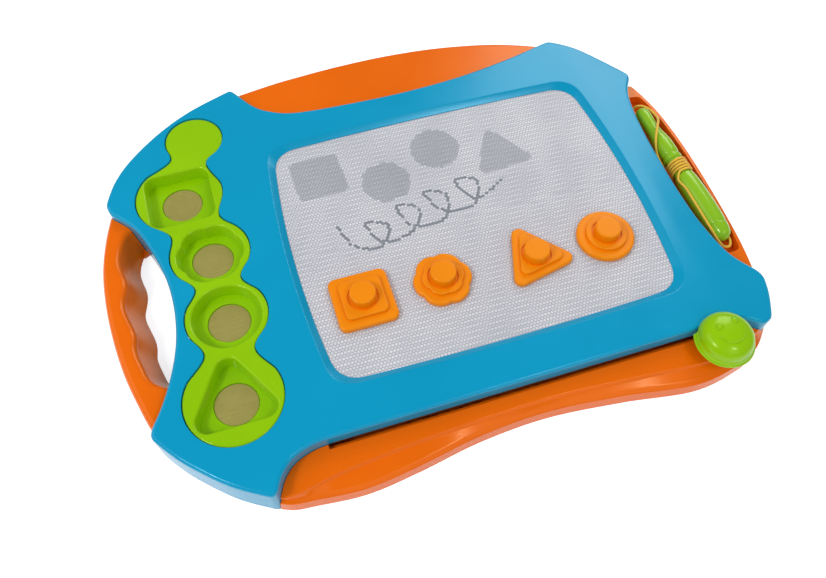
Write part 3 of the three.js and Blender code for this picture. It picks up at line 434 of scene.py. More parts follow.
@dataclass(frozen=True)
class Plan:
    """The board's plan, about the middle of the window.

    Shares up to one are of the window's half size, and the rest are of the band between the window
    and the frame's reach.
    """

    half_x: float = 0.118
    half_y: float = 0.093
    bulge_x: float = 0.0066
    bulge_y: float = 0.0024
    corner: float = 0.016
    left_band: float = 0.110
    right_band: float = 0.051
    back_band: float = 0.065
    front_band: float = 0.053
    spacing: float = 0.0015
    wear: int = 3
    slot_width: float = 0.003
    slot_share: float = 1.08

    back_left_shares = (
        (-1.1, 2), (-1.391, 1.815), (-1.618, 1.585), (-1.818, 1.292), (-1.932, 1.038), (-2, 0.839))
    left_bay_shares = (
        (-1.982, 0.753), (-1.864, 0.591), (-1.791, 0.387), (-1.732, 0.129), (-1.715, -0.129),
        (-1.736, -0.387), (-1.791, -0.613), (-1.864, -0.806), (-1.936, -0.946))
    front_left_shares = ((-1.945, -0.995), (-1.873, -1.198), (-1.782, -1.415), (-1.6, -1.755), (-1.409, -2))
    front_bay_shares = (
        (-1.386, -1.962), (-1.345, -1.792), (-1.273, -1.651), (-1.173, -1.574), (-1.091, -1.555))
    front_right_shares = ((1.196, -1.555), (1.412, -1.589), (1.627, -1.706))
    right_corner_shares = ((1.765, -1.66), (1.922, -1.358), (2, -1.113))
    right_bay_shares = (
        (1.961, -1.009), (1.725, -0.828), (1.604, -0.559), (1.565, -0.301), (1.561, 0),
        (1.58, 0.301), (1.627, 0.57), (1.716, 0.785), (1.882, 0.941))
    back_right_shares = ((1.892, 0.978), (1.627, 1.223), (1.314, 1.492), (0.979, 1.685))
    back_bay_shares = (
        (0.936, 1.669), (0.669, 1.551), (0.318, 1.446), (-0.034, 1.403), (-0.39, 1.409),
        (-0.746, 1.455), (-0.907, 1.569), (-0.992, 1.708), (-1.069, 1.923))

    def spot(self, share: Share) -> Vector:
        """The place of a pair of shares."""
        across = self._along(share[0], self.half_x, self.left_band, self.right_band)
        return Vector((across, self._along(share[1], self.half_y, self.front_band, self.back_band)))

    @staticmethod
    def _along(share: float, half: float, low_band: float, high_band: float) -> float:
        """One coordinate from its share."""
        if abs(share) <= 1:
            return share * half
        band = low_band if share < 0 else high_band
        return math.copysign(half + (abs(share) - 1) * band, share)

    def run(self, shares: Sequence[Share], steps: int) -> Outline:
        """A smooth run of places through a table of shares."""
        return smooth_run([self.spot(share) for share in shares], steps)

    @cached_property
    def frame_outline(self) -> Outline:
        """The frame's outline, anticlockwise from the back left corner, its corners worn round."""
        tables = (
            (self.back_left_shares, 8), (self.left_bay_shares, 12), (self.front_left_shares, 8),
            (self.front_bay_shares, 8), (self.front_right_shares, 4), (self.right_corner_shares, 4),
            (self.right_bay_shares, 12), (self.back_right_shares, 8), (self.back_bay_shares, 16))
        sharp = [place for shares, steps in tables for place in self.run(shares, steps * 4)]
        return softened(sharp, self.spacing, self.wear)

    def frame_block(self, margin: float) -> Solid:
        """Everything within the frame's outline grown by a margin, from well below to well above."""
        return Solid.prism(inset(self.frame_outline, -margin), -self.half_y, self.half_y)

    def pillow(self, margin: float, steps: int = 14) -> Outline:
        """The window's outline, with bowed sides and round corners.

        Args:
            margin: how far the outline is grown.
            steps: number of stretches in each side and each corner.

        Returns:
            The outline's corners, anticlockwise.
        """
        half = Vector((self.half_x + margin, self.half_y + margin))
        corner = half - Vector((self.bulge_x, self.bulge_y))
        flat = corner - Vector((self.corner, self.corner))
        side = Vector((
            half.x - self.bulge_x * (flat.y / corner.y) ** 2,
            half.y - self.bulge_y * (flat.x / corner.x) ** 2))
        bow = half * 2 - side
        quarter = (
            (Vector((side.x, -flat.y)), Vector((bow.x, 0)), Vector((side.x, flat.y))),
            (Vector((side.x, flat.y)), corner, Vector((flat.x, side.y))),
            (Vector((flat.x, side.y)), Vector((0, bow.y)), Vector((-flat.x, side.y))),
            (Vector((-flat.x, side.y)), Vector((-corner.x, corner.y)), Vector((-side.x, flat.y))))
        found = []
        for sign in (1, -1):
            for start, middle, end in quarter:
                found += [bend(start, middle, end, step / steps) * sign for step in range(steps)]
        return found


@dataclass(frozen=True)
class Heights:
    """Heights above the table, and the walls that they are built from."""

    screen: float = 0.024
    frame_top: float = 0.0275
    shelf: float = 0.0174
    step: float = 0.0152
    lip: float = 0.0106
    crest: float = 0.024
    handle: float = 0.0215
    tray: float = 0.0125
    tray_floor: float = 0.0047
    holder_top: float = 0.0267
    skirt: float = 0.0005
    wall: float = 0.0024
    thin_wall: float = 0.0018
    fall: float = 0.006
    fall_length: float = 0.050
    fall_ease: float = 0.016


PLAN = Plan()
HEIGHTS = Heights()


class Shader:
    """A node tree with short calls for placing and linking nodes."""

    def __init__(self, tree: bpy.types.NodeTree) -> None:
        """Takes over a node tree and empties it."""
        self.tree = tree
        tree.nodes.clear()

    def add(self, kind: str, inputs: dict[str | int, object] | None = None, **settings: object) -> Node:
        """Places a node.

        Args:
            kind: the node's type, without its leading words.
            inputs: a value, or another node's socket, for each input.
            settings: the node's own settings.

        Returns:
            The node.
        """
        node = self.tree.nodes.new("ShaderNode" + kind)
        for name, value in settings.items():
            setattr(node, name, value)
        for key, value in (inputs or {}).items():
            if isinstance(value, NodeSocket):
                self.tree.links.new(value, node.inputs[key])
            else:
                node.inputs[key].default_value = value
        return node

    def math(self, operation: str, *values: float | NodeSocket) -> NodeSocket:
        """The result of a sum on one, two or three values."""
        return self.add("Math", dict(enumerate(values)), operation=operation).outputs[0]

    def span(self, value: NodeSocket, source: Share, target: Share) -> NodeSocket:
        """A value stretched from one range to another and held within it."""
        limits = {"From Min": source[0], "From Max": source[1], "To Min": target[0], "To Max": target[1]}
        return self.add("MapRange", {"Value": value, **limits}).outputs["Result"]

    def blend(self, share: NodeSocket, first: Colour | NodeSocket, second: Colour | NodeSocket) -> NodeSocket:
        """A colour between two colours."""
        full = [(*colour, 1) if isinstance(colour, tuple) else colour for colour in (first, second)]
        return self.add("Mix", {0: share, 6: full[0], 7: full[1]}, data_type="RGBA").outputs[2]

    def noise(
        self, place: NodeSocket, scale: float | NodeSocket, detail: float, **inputs: float) -> NodeSocket:
        """The strength of a cloudy pattern."""
        values = {"Vector": place, "Scale": scale, "Detail": detail, **inputs}
        return self.add("TexNoise", values).outputs["Fac"]

    def stretched(self, place: NodeSocket, turn: float, scale: Place) -> NodeSocket:
        """A place turned about Z and stretched."""
        return self.add("Mapping", {"Vector": place, "Rotation": (0, 0, turn), "Scale": scale}).outputs[0]

    def bump(self, strength: float, depth: float, height: NodeSocket) -> NodeSocket:
        """The normals of a small relief."""
        return self.add("Bump", {"Strength": strength, "Distance": depth, "Height": height}).outputs[0]


def open_effect(name: str, inputs: dict[str, float | None]) -> tuple[Shader, Sockets]:
    """A shader node group under construction.

    Args:
        name: the effect's name.
        inputs: the inputs' first values, or none for a vector.

    Returns:
        The shader that fills the group, and the group's inputs.
    """
    group = bpy.data.node_groups.new(name, "ShaderNodeTree")
    for label, value in inputs.items():
        kind = "NodeSocketVector" if value is None else "NodeSocketFloat"
        socket = group.interface.new_socket(label, in_out="INPUT", socket_type=kind)
        if value is not None:
            socket.default_value = value
    shader = Shader(group)
    return shader, group.nodes.new("NodeGroupInput").outputs


def close_effect(shader: Shader, results: dict[str, NodeSocket]) -> bpy.types.NodeTree:
    """Gives a shader node group its outputs.

    Args:
        shader: the shader that has filled the group.
        results: each output's name and value.

    Returns:
        The group.
    """
    for label in results:
        shader.tree.interface.new_socket(label, in_out="OUTPUT", socket_type="NodeSocketFloat")
    end = shader.tree.nodes.new("NodeGroupOutput")
    for label, socket in results.items():
        shader.tree.links.new(socket, end.inputs[label])
    return shader.tree


@dataclass(frozen=True)
class MouldedSkin:
    """The fine grain, slow mottling and faint scuffs of moulded plastic."""

    mottle_scale: float = 18.0
    mottle_detail: float = 3.0
    grain_scale: float = 1400.0
    grain_detail: float = 2.0
    grain_share: float = 0.12
    wave_scale: float = 120.0
    wave_detail: float = 1.0
    scuff_scale: float = 90.0
    scuff_detail: float = 4.0
    scuff_roughness: float = 0.7
    scuff_stretch: float = 14.0
    scuff_turn: float = 0.6
    scuff_span: Pair = (0.66, 0.8)

    def build(self) -> bpy.types.NodeTree:
        """The shared node group."""
        first = {"Vector": None, "Mottle Scale": self.mottle_scale, "Grain Scale": self.grain_scale}
        shader, ways = open_effect("Moulded surface", first)
        place = ways["Vector"]
        mottle = shader.noise(place, ways["Mottle Scale"], self.mottle_detail)
        grain = shader.noise(place, ways["Grain Scale"], self.grain_detail)
        drawn = shader.stretched(place, self.scuff_turn, (1, self.scuff_stretch, 1))
        scuff = shader.noise(drawn, self.scuff_scale, self.scuff_detail, Roughness=self.scuff_roughness)
        worn = shader.span(scuff, self.scuff_span, (0, 1))
        wave = shader.noise(place, self.wave_scale, self.wave_detail)
        height = shader.math("MULTIPLY_ADD", grain, self.grain_share, wave)
        return close_effect(shader, {"Mottle": mottle, "Scuff": worn, "Height": height})


@dataclass(frozen=True)
class BrushedSkin:
    """Fine parallel brushing, stronger in some places."""

    line_scale: float = 700.0
    line_detail: float = 3.0
    line_roughness: float = 0.6
    line_stretch: float = 0.05
    line_turn: float = 0.4
    stain_scale: float = 140.0
    stain_detail: float = 4.0

    def build(self) -> bpy.types.NodeTree:
        """The shared node group."""
        shader, ways = open_effect("Brushed metal", {"Vector": None, "Line Scale": self.line_scale})
        place = ways["Vector"]
        drawn = shader.stretched(place, self.line_turn, (self.line_stretch, 1, 1))
        lines = shader.noise(drawn, ways["Line Scale"], self.line_detail, Roughness=self.line_roughness)
        stain = shader.noise(place, self.stain_scale, self.stain_detail)
        return close_effect(shader, {"Line": lines, "Stain": stain})


def new_material(name: str) -> tuple[Material, Shader]:
    """An empty material and the shader that fills it."""
    material = bpy.data.materials.new(name)
    material.use_nodes = True
    return material, Shader(material.node_tree)


def skinned(name: str, skin: bpy.types.NodeTree) -> tuple[Material, Shader, Sockets]:
    """An empty material, its shader, and what a shared effect gives at the object's own places."""
    material, shader = new_material(name)
    place = shader.add("TexCoord").outputs["Object"]
    return material, shader, shader.add("Group", {"Vector": place}, node_tree=skin).outputs


def surface(shader: Shader, inputs: dict[str | int, object]) -> None:
    """Ends a material with a surface of the given values."""
    principled = shader.add("BsdfPrincipled", inputs)
    shader.add("OutputMaterial", {"Surface": principled.outputs[0]})


CLOUD_SPAN = (0.35, 0.65)
WIDE_SPAN = (0.3, 0.7)
SPECK_SPAN = (0.3, 0.6)
FUZZ_SPAN = (0.2, 0.8)


@dataclass(frozen=True)
class MouldedPlastic:
    """Moulded plastic in one colour."""

    name: str
    light: Colour
    deep: Colour
    roughness: float = 0.34
    spread: float = 0.03
    scuff_dulling: float = 0.06
    coat: float = 0.04
    coat_roughness: float = 0.12
    ior: float = 1.5
    sheen: float = 0.5
    relief: float = 0.12
    relief_depth: float = MM / 5
    glint: Colour = (1.0, 1.0, 1.0)

    def build(self, shared: bpy.types.NodeTree) -> Material:
        """The material, built around the shared moulded surface."""
        material, shader, skin = skinned(self.name, shared)
        colour = shader.blend(shader.span(skin["Mottle"], CLOUD_SPAN, (0, 1)), self.deep, self.light)
        limits = (self.roughness - self.spread, self.roughness + self.spread)
        dull = shader.span(skin["Mottle"], WIDE_SPAN, limits)
        surface(shader, {
            "Base Color": colour, "IOR": self.ior, "Coat Weight": self.coat,
            "Roughness": shader.math("MULTIPLY_ADD", skin["Scuff"], self.scuff_dulling, dull),
            "Normal": shader.bump(self.relief, self.relief_depth, skin["Height"]),
            "Coat Roughness": self.coat_roughness, "Specular IOR Level": self.sheen,
            "Specular Tint": (*self.glint, 1)})
        return material


@dataclass(frozen=True)
class Metal:
    """Brushed metal."""

    name: str
    light: Colour
    deep: Colour
    metallic: float = 1.0
    roughness: float = 0.35
    smoother: float = 0.04
    rougher: float = 0.05
    relief: float = 0.05
    relief_depth: float = MM / 20

    def build(self, shared: bpy.types.NodeTree) -> Material:
        """The material, built around the shared brushing."""
        material, shader, skin = skinned(self.name, shared)
        colour = shader.blend(shader.span(skin["Stain"], CLOUD_SPAN, (0, 1)), self.deep, self.light)
        limits = (self.roughness - self.smoother, self.roughness + self.rougher)
        surface(shader, {
            "Base Color": colour, "Roughness": shader.span(skin["Line"], WIDE_SPAN, limits),
            "Metallic": self.metallic, "Normal": shader.bump(self.relief, self.relief_depth, skin["Line"])})
        return material


@dataclass(frozen=True)
class Cells:
    """The drawing face: pale cells, filled with dark powder where something is drawn."""

    name: str = "drawing_cells"
    floor: Colour = (0.80, 0.80, 0.83)
    wall: Colour = (0.42, 0.43, 0.49)
    powder: Colour = (0.19, 0.215, 0.25)
    cloud_scale: float = 30.0
    cloud_detail: float = 3.0
    cloud_share: float = 0.3
    speck_scale: float = 1500.0
    speck_detail: float = 2.0
    tint_share: float = 0.35
    fill_shares: Share = (0.7, 1)
    roughness: Pair = (0.42, 0.52)
    relief: float = 0.1
    relief_depth: float = MM / 10
    coat: float = 0.15
    coat_roughness: float = 0.25

    def build(self) -> Material:
        """The material, which reads each cell's fill from the mesh."""
        material, shader = new_material(self.name)
        painted = shader.add("VertexColor", {}, layer_name="cells")
        split = shader.add("SeparateColor", {"Color": painted.outputs["Color"]}).outputs
        place = shader.add("TexCoord").outputs["Object"]
        cloud = shader.noise(place, self.cloud_scale, self.cloud_detail)
        speck = shader.noise(place, self.speck_scale, self.speck_detail)
        drift = shader.span(cloud, WIDE_SPAN, (0, self.cloud_share))
        tint = shader.math("MULTIPLY_ADD", split["Blue"], self.tint_share, drift)
        worn = shader.blend(tint, shader.blend(split["Red"], self.wall, self.floor), self.wall)
        fill = shader.math("MULTIPLY", split["Green"], shader.span(speck, SPECK_SPAN, self.fill_shares))
        surface(shader, {
            "Base Color": shader.blend(fill, worn, self.powder), "Coat Weight": self.coat,
            "Roughness": shader.span(cloud, WIDE_SPAN, self.roughness),
            "Normal": shader.bump(self.relief, self.relief_depth, speck),
            "Coat Roughness": self.coat_roughness})
        return material


@dataclass(frozen=True)
class Braid:
    """A round braided cord, patterned along its own length."""

    name: str = "braided_cord"
    # Colours of the strands' crests and of the grooves between them; the darker groove colour is painted
    # shade.
    light: Colour = (1.0, 0.62, 0.05)
    deep: Colour = (0.85, 0.42, 0.03)
    strands: float = 6.0
    fuzz_scale: float = 2500.0
    fuzz_detail: float = 3.0
    fuzz_shares: Share = (0.75, 1)
    roughness: Pair = (0.85, 0.6)
    relief: float = 0.5
    relief_depth: float = MM / 5
    sheen: float = 0.3
    sheen_roughness: float = 0.4

    def build(self) -> Material:
        """The material, which reads the cord's own map: round it, and along it in diameters. Its colour
        darkens into the grooves between strands as painted shade.
        """
        material, shader = new_material(self.name)
        split = shader.add("SeparateXYZ", {0: shader.add("UVMap", {}, uv_map="UVMap").outputs[0]}).outputs
        waves = []
        for lean in (1, -1):
            slant = shader.math("MULTIPLY_ADD", split["X"], self.strands * lean, split["Y"])
            wave = shader.math("SINE", shader.math("MULTIPLY", slant, math.pi))
            waves.append(shader.math("ABSOLUTE", wave))
        weave = shader.math("MAXIMUM", *waves)
        fuzz = shader.noise(shader.add("TexCoord").outputs["Object"], self.fuzz_scale, self.fuzz_detail)
        # Colour runs from deep in the grooves between strands to light on their crests: painted shade, varied
        # by a random fuzz.
        share = shader.math("MULTIPLY", weave, shader.span(fuzz, FUZZ_SPAN, self.fuzz_shares))
        surface(shader, {
            "Base Color": shader.blend(share, self.deep, self.light),
            "Roughness": shader.span(weave, (0, 1), self.roughness),
            "Normal": shader.bump(self.relief, self.relief_depth, weave), "Sheen Weight": self.sheen,
            "Sheen Roughness": self.sheen_roughness})
        return material


def mark_sharp(shape: bmesh.types.BMesh) -> None:
    """Shades a shape smooth except over its sharp edges."""
    for face in shape.faces:
        face.smooth = True
    for edge in shape.edges:
        edge.smooth = edge.calc_face_angle(0) < SHARP


class Workshop:
    """What every sub-assembly needs: the window's middle, materials, and a way to set pieces down."""

    def __init__(self) -> None:
        """Finds the window's middle and builds every material."""
        low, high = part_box("screen_front_sheet")
        self.origin = Vector(((low.x + high.x) / 2, (low.y + high.y) / 2, 0))
        moulded, brushed = MouldedSkin().build(), BrushedSkin().build()
        built = [finish.build(moulded) for finish in PLASTICS]
        built += [finish.build(brushed) for finish in METALS]
        built += [Cells().build(), Braid().build()]
        self.materials: dict[str, Material] = {material.name: material for material in built}

    def set_down(
        self, name: str, solid: Solid, finish: str, slot: str, body: str = Body.BOARD.value,
        replaces: Sequence[str] = ()) -> Object:
        """Makes a piece of a solid that was built about the window's middle.

        Args:
            name: the piece's name.
            solid: its shape.
            finish: its material's name.
            slot: the record's material slot; not used.
            body: the body that it rides on.
            replaces: the construction nodes that it stands for.

        Returns:
            The piece.
        """
        solid.moved(Matrix.Translation(self.origin)).edit(mark_sharp)
        solid.mesh.materials.clear()
        solid.mesh.materials.append(self.materials[finish])
        solid.mesh.name = name
        piece = bpy.data.objects.new(name, solid.mesh)
        bpy.context.scene.collection.objects.link(piece)
        weighted = piece.modifiers.new("even shading", "WEIGHTED_NORMAL")
        weighted.keep_sharp = True
        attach(piece, body)
        if replaces:
            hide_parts(*replaces)
        LOG.info("%s: %d corners, on %s", name, len(solid.mesh.vertices), body)
        return piece

    def dress(self, finish: str, *nodes: str) -> None:
        """Gives construction nodes, whose shape is right, a better material."""
        for node in nodes:
            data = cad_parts[node].data
            data.materials.clear()
            data.materials.append(self.materials[finish])


PLASTICS = (
    MouldedPlastic(
        "blue_plastic", light=(0.0, 0.345, 0.60), deep=(0.0, 0.325, 0.57), roughness=0.22,
        glint=(0.45, 0.85, 1.0)),
    MouldedPlastic(
        "orange_plastic", light=(0.92, 0.155, 0.0), deep=(0.88, 0.145, 0.0), roughness=0.22,
        glint=(1.0, 0.7, 0.35)),
    MouldedPlastic(
        "green_plastic", light=(0.31, 0.62, 0.0), deep=(0.28, 0.58, 0.0), roughness=0.22,
        glint=(0.85, 1.0, 0.45)),
    MouldedPlastic(
        "stamp_plastic", light=(0.98, 0.285, 0.0), deep=(0.95, 0.265, 0.0), roughness=0.3,
        glint=(1.0, 0.75, 0.4)),
    MouldedPlastic(
        "pen_plastic", light=(0.30, 0.60, 0.015), deep=(0.27, 0.56, 0.015), roughness=0.22, coat=0.3,
        glint=(0.9, 1.0, 0.6)),
    MouldedPlastic(
        "black_magnet", light=(0.04, 0.04, 0.043), deep=(0.03, 0.03, 0.032), roughness=0.7, coat=0.0),
    MouldedPlastic(
        "white_core", light=(0.78, 0.78, 0.80), deep=(0.74, 0.74, 0.77), roughness=0.7, coat=0.0),
)
METALS = (
    Metal(
        "stamped_discs", light=(0.70, 0.60, 0.18), deep=(0.66, 0.56, 0.16), metallic=0.6, roughness=0.3),
    Metal("screw_metal", light=(0.45, 0.45, 0.44), deep=(0.33, 0.33, 0.32)),
)


@dataclass(frozen=True)
class Eye:
    """The camera, placed from the window's middle at the drawing face."""

    place: Place = (-0.129302, -0.272027, 0.415354)
    turn_degrees: Place = (30.2772, -0.6798, -17.6181)
    focal_pixels: float = 762.045
    width_pixels: float = 826

    def build(self, origin: Vector) -> None:
        """Places the camera."""
        data = bpy.data.cameras.new("eye")
        data.sensor_fit = "HORIZONTAL"
        data.lens = self.focal_pixels / self.width_pixels * data.sensor_width
        data.clip_start = MM
        data.dof.use_dof = False
        camera = bpy.data.objects.new("eye", data)
        camera.location = origin + Vector((0, 0, HEIGHTS.screen)) + Vector(self.place)
        camera.rotation_euler = [math.radians(turn) for turn in self.turn_degrees]
        bpy.context.scene.collection.objects.link(camera)
        bpy.context.scene.camera = camera


@dataclass(frozen=True)
class Lamp:
    """A square soft light that faces the board."""

    name: str
    direction: Place
    distance: float
    size: float
    power: float

    def build(self, origin: Vector) -> None:
        """Places the light."""
        data = bpy.data.lights.new(self.name, "AREA")
        data.shape = "SQUARE"
        data.size = self.size
        data.energy = self.power
        lamp = bpy.data.objects.new(self.name, data)
        way = Vector(self.direction).normalized()
        lamp.location = origin + way * self.distance
        lamp.rotation_euler = way.to_track_quat("Z", "Y").to_euler()
        bpy.context.scene.collection.objects.link(lamp)


@dataclass(frozen=True)
class Studio:
    """The pale floor and the soft lights."""

    floor_half: float = 6.0
    floor_colour: Colour = (0.86, 0.86, 0.86)
    floor_glow: float = 0.58
    mirrored_glow: float = 0.42
    sky: float = 0.47
    mirrored_sky: float = 0.16
    lamps: tuple[Lamp, ...] = (
        Lamp("back_right_panel", (0.52, 0.60, 0.61), distance=1.6, size=0.7, power=5.5),
        Lamp("left_panel", (-0.75, 0.25, 0.62), distance=1.8, size=1.2, power=4.5),
        Lamp("front_panel", (0.1, -0.85, 0.75), distance=2.0, size=1.2, power=3.5),
        Lamp("left_spark", (-0.64, -0.20, 0.73), distance=1.6, size=0.3, power=6.0),
        Lamp("front_spark", (0.28, -0.52, 0.80), distance=1.6, size=0.2, power=2.2),
    )

    def build(self, origin: Vector) -> None:
        """Builds the floor, the sky and the lights."""
        shape = bmesh.new()
        bmesh.ops.create_grid(shape, x_segments=1, y_segments=1, size=self.floor_half)
        mesh = bpy.data.meshes.new("floor")
        shape.to_mesh(mesh)
        shape.free()
        mesh.materials.append(self._floor())
        floor = bpy.data.objects.new("floor", mesh)
        bpy.context.scene.collection.objects.link(floor)
        self._sky()
        for lamp in self.lamps:
            lamp.build(origin)
        bpy.context.scene.view_settings.view_transform = "Standard"

    def _floor(self) -> Material:
        """A pale floor that glows for the camera, so that only the board's shadow darkens it."""
        material, shader = new_material("pale_floor")
        rays = shader.add("LightPath").outputs
        mirrored = shader.math("MULTIPLY", rays["Is Glossy Ray"], self.mirrored_glow)
        glow = shader.math("MULTIPLY_ADD", rays["Is Camera Ray"], self.floor_glow, mirrored)
        surface(shader, {
            "Base Color": (*self.floor_colour, 1), "Roughness": 0.9, "Specular IOR Level": 0.0,
            "Emission Color": (1, 1, 1, 1), "Emission Strength": glow})
        return material

    def _sky(self) -> None:
        """An even sky, white where it is seen."""
        world = bpy.data.worlds.new("studio")
        world.use_nodes = True
        shader = Shader(world.node_tree)
        rays = shader.add("LightPath").outputs
        lit = shader.span(rays["Is Glossy Ray"], (0, 1), (self.sky, self.mirrored_sky))
        strength = shader.math("MAXIMUM", lit, rays["Is Camera Ray"])
        background = shader.add("Background", {"Color": (1, 1, 1, 1), "Strength": strength})
        shader.add("OutputWorld", {"Surface": background.outputs[0]})
        bpy.context.scene.world = world


def falling_top(x: float, drop: float = 0.0) -> float:
    """Height of the frame's top at a place across it, or of a level that far below it."""
    past, ease = max(0.0, x - PLAN.half_x), HEIGHTS.fall_ease
    reach = past**2 / (2 * ease) if past < ease else past - ease / 2
    return HEIGHTS.frame_top - drop - reach * HEIGHTS.fall / HEIGHTS.fall_length


FALL_SHARES = (0, 0.25, 0.5, 0.75, 1)


def lower_right(floor: float) -> Callable[[bmesh.types.BMesh], None]:
    """A change that lets everything above a height fall with the frame's right side."""
    def change(shape: bmesh.types.BMesh) -> None:
        for share in FALL_SHARES:
            bmesh.ops.bisect_plane(
                shape, geom=[*shape.verts, *shape.edges, *shape.faces], dist=MERGE,
                plane_co=(PLAN.half_x + share * HEIGHTS.fall_ease, 0, 0), plane_no=(1, 0, 0))
        for vert in shape.verts:
            if vert.co.z > floor:
                vert.co.z += falling_top(vert.co.x) - HEIGHTS.frame_top
    return change


def strip(points: Sequence[Vector], reach: float, low: float, high: float) -> Solid:
    """A strip along a run of places, reaching the same distance to both of its sides.

    Args:
        points: the run.
        reach: how far it reaches to each side.
        low: height of its foot.
        high: height of its top.

    Returns:
        The strip.
    """
    sides = ([], [])
    for index, point in enumerate(points):
        along = points[min(index + 1, len(points) - 1)] - points[max(index - 1, 0)]
        across = Vector((-along.y, along.x)).normalized() * reach
        sides[0].append(point - across)
        sides[1].append(point + across)
    return Solid.prism([*sides[0], *reversed(sides[1])], low, high)


def passages() -> list[list[Vector]]:
    """The runs where the cover passes out under the frame's skirt."""
    left, right = PLAN.run(PLAN.left_bay_shares, 48), PLAN.run(PLAN.right_bay_shares, 48)
    back = PLAN.run(PLAN.back_bay_shares, 64)
    front = [*PLAN.run(PLAN.front_bay_shares, 32)[8:], *PLAN.run(PLAN.front_right_shares, 16)]
    return [left[4:-4], right[4:-4], back[4:-8], front]


@dataclass(frozen=True)
class Lobe:
    """One round of the stamp holder."""

    share: Share
    radius: float
    leave_turn: float = FULL_TURN / 6

    @property
    def centre(self) -> Vector:
        """The round's middle."""
        return PLAN.spot(self.share)

    def touch(self, ahead: Vector, side: int, toward: int, margin: float) -> Vector:
        """Where a waist's side leaves the round.

        Args:
            ahead: direction of the waist.
            side: one to its left, minus one to its right.
            toward: one where the waist leaves, minus one where it arrives.
            margin: how far the round is grown.

        Returns:
            The place on the round.
        """
        across = Vector((-ahead.y, ahead.x)) * side * math.sin(self.leave_turn)
        reach = self.radius + margin
        return self.centre + (across + ahead * toward * math.cos(self.leave_turn)) * reach


@dataclass(frozen=True)
class StampShape:
    """A stamp's outline, and where it and its recess are."""

    name: str
    reach: float
    holder_share: Share
    parked_share: Share
    sides: int = 0
    notch: float = 0.0
    petals: int = 6
    petal_gain: float = 1.08
    petal_power: float = 0.8
    first_degrees: float = 0
    parked_degrees: float = 0
    corner: float = 0.005
    round_steps: int = 120

    def outline(self, margin: float, turned: bool = False) -> Outline:
        """The stamp's outline about its own middle.

        Args:
            margin: how far it is grown.
            turned: whether it is turned as on the drawing face.

        Returns:
            Its corners, anticlockwise.
        """
        if not self.sides:
            turns = [index / self.round_steps * FULL_TURN for index in range(self.round_steps)]
            reaches = [self.reach + margin - self.notch * (1 - self._petal(turn)) for turn in turns]
            return [Vector((math.cos(turn), math.sin(turn))) * reach for turn, reach in zip(turns, reaches)]
        inner = self.reach - self.corner / math.cos(math.pi / self.sides)
        wedge = FULL_TURN / self.sides
        found = []
        for corner in range(self.sides):
            middle = math.radians(self.first_degrees + turned * self.parked_degrees) + corner * wedge
            centre = Vector((math.cos(middle), math.sin(middle))) * inner
            found += arc(centre, self.corner + margin, middle - wedge / 2, wedge, 12)
        return found

    def _petal(self, turn: float) -> float:
        """How far out a petal's edge is at a turn, from its notch at zero to its tip at one."""
        return min(1.0, self.petal_gain * abs(math.cos(self.petals / 2 * turn)) ** self.petal_power)


STAMP_WIDTH = 0.038
LOBES = (
    Lobe((-1.405, 1.377), radius=0.020),
    Lobe((-1.564, 0.763), radius=0.029),
    Lobe((-1.456, 0.22), radius=0.0258),
    Lobe((-1.441, -0.301), radius=0.0257),
    Lobe((-1.497, -0.889), radius=0.0297),
)
NECK_SHARES = (0.62, 0.66, 0.56, 0.58)
SHAPES = (
    StampShape(
        "square", reach=STAMP_WIDTH * math.sqrt(0.5), holder_share=LOBES[1].share,
        parked_share=(-0.708, -0.45), sides=4, first_degrees=45),
    StampShape(
        "flower", reach=STAMP_WIDTH / 2, holder_share=LOBES[2].share, parked_share=(-0.267, -0.455),
        notch=0.0017),
    StampShape(
        "circle", reach=STAMP_WIDTH / 2, holder_share=LOBES[3].share, parked_share=(0.689, -0.455)),
    StampShape(
        "triangle", reach=0.029, holder_share=LOBES[4].share, parked_share=(0.262, -0.475), sides=3,
        first_degrees=90, parked_degrees=12),
)


def bearing(place: Vector, centre: Vector) -> float:
    """Direction of a place as seen from a centre, in radians."""
    return math.atan2(place.y - centre.y, place.x - centre.x)


def lobed(margin: float) -> Outline:
    """The stamp holder's outline: rounds joined by waists.

    Args:
        margin: how far it is grown.

    Returns:
        Its corners, anticlockwise.
    """
    waists = []
    for side in (-1, 1):
        run = []
        for start, end, share in zip(LOBES, LOBES[1:], NECK_SHARES):
            axis = end.centre - start.centre
            ahead = axis.normalized()
            middle = start.centre.lerp(end.centre, (1 + (start.radius - end.radius) / axis.length) / 2)
            pinch = share * min(start.radius, end.radius) + margin
            run.append(smooth_run([
                start.touch(ahead, side, 1, margin), middle + Vector((-ahead.y, ahead.x)) * side * pinch,
                end.touch(ahead, side, -1, margin)], 12))
        waists.append(run)
    curves = [*waists[0], *[run[::-1] for run in reversed(waists[1])]]
    rounds = [*LOBES[1:], *reversed(LOBES[:-1])]
    found = []
    for index, (curve, lobe) in enumerate(zip(curves, rounds)):
        start = bearing(curve[-1], lobe.centre)
        turn = (bearing(curves[(index + 1) % len(curves)][0], lobe.centre) - start) % FULL_TURN
        found += [*curve, *arc(lobe.centre, lobe.radius + margin, start, turn, 24)[1:-1]]
    return softened(found, PLAN.spacing / 2, 6)


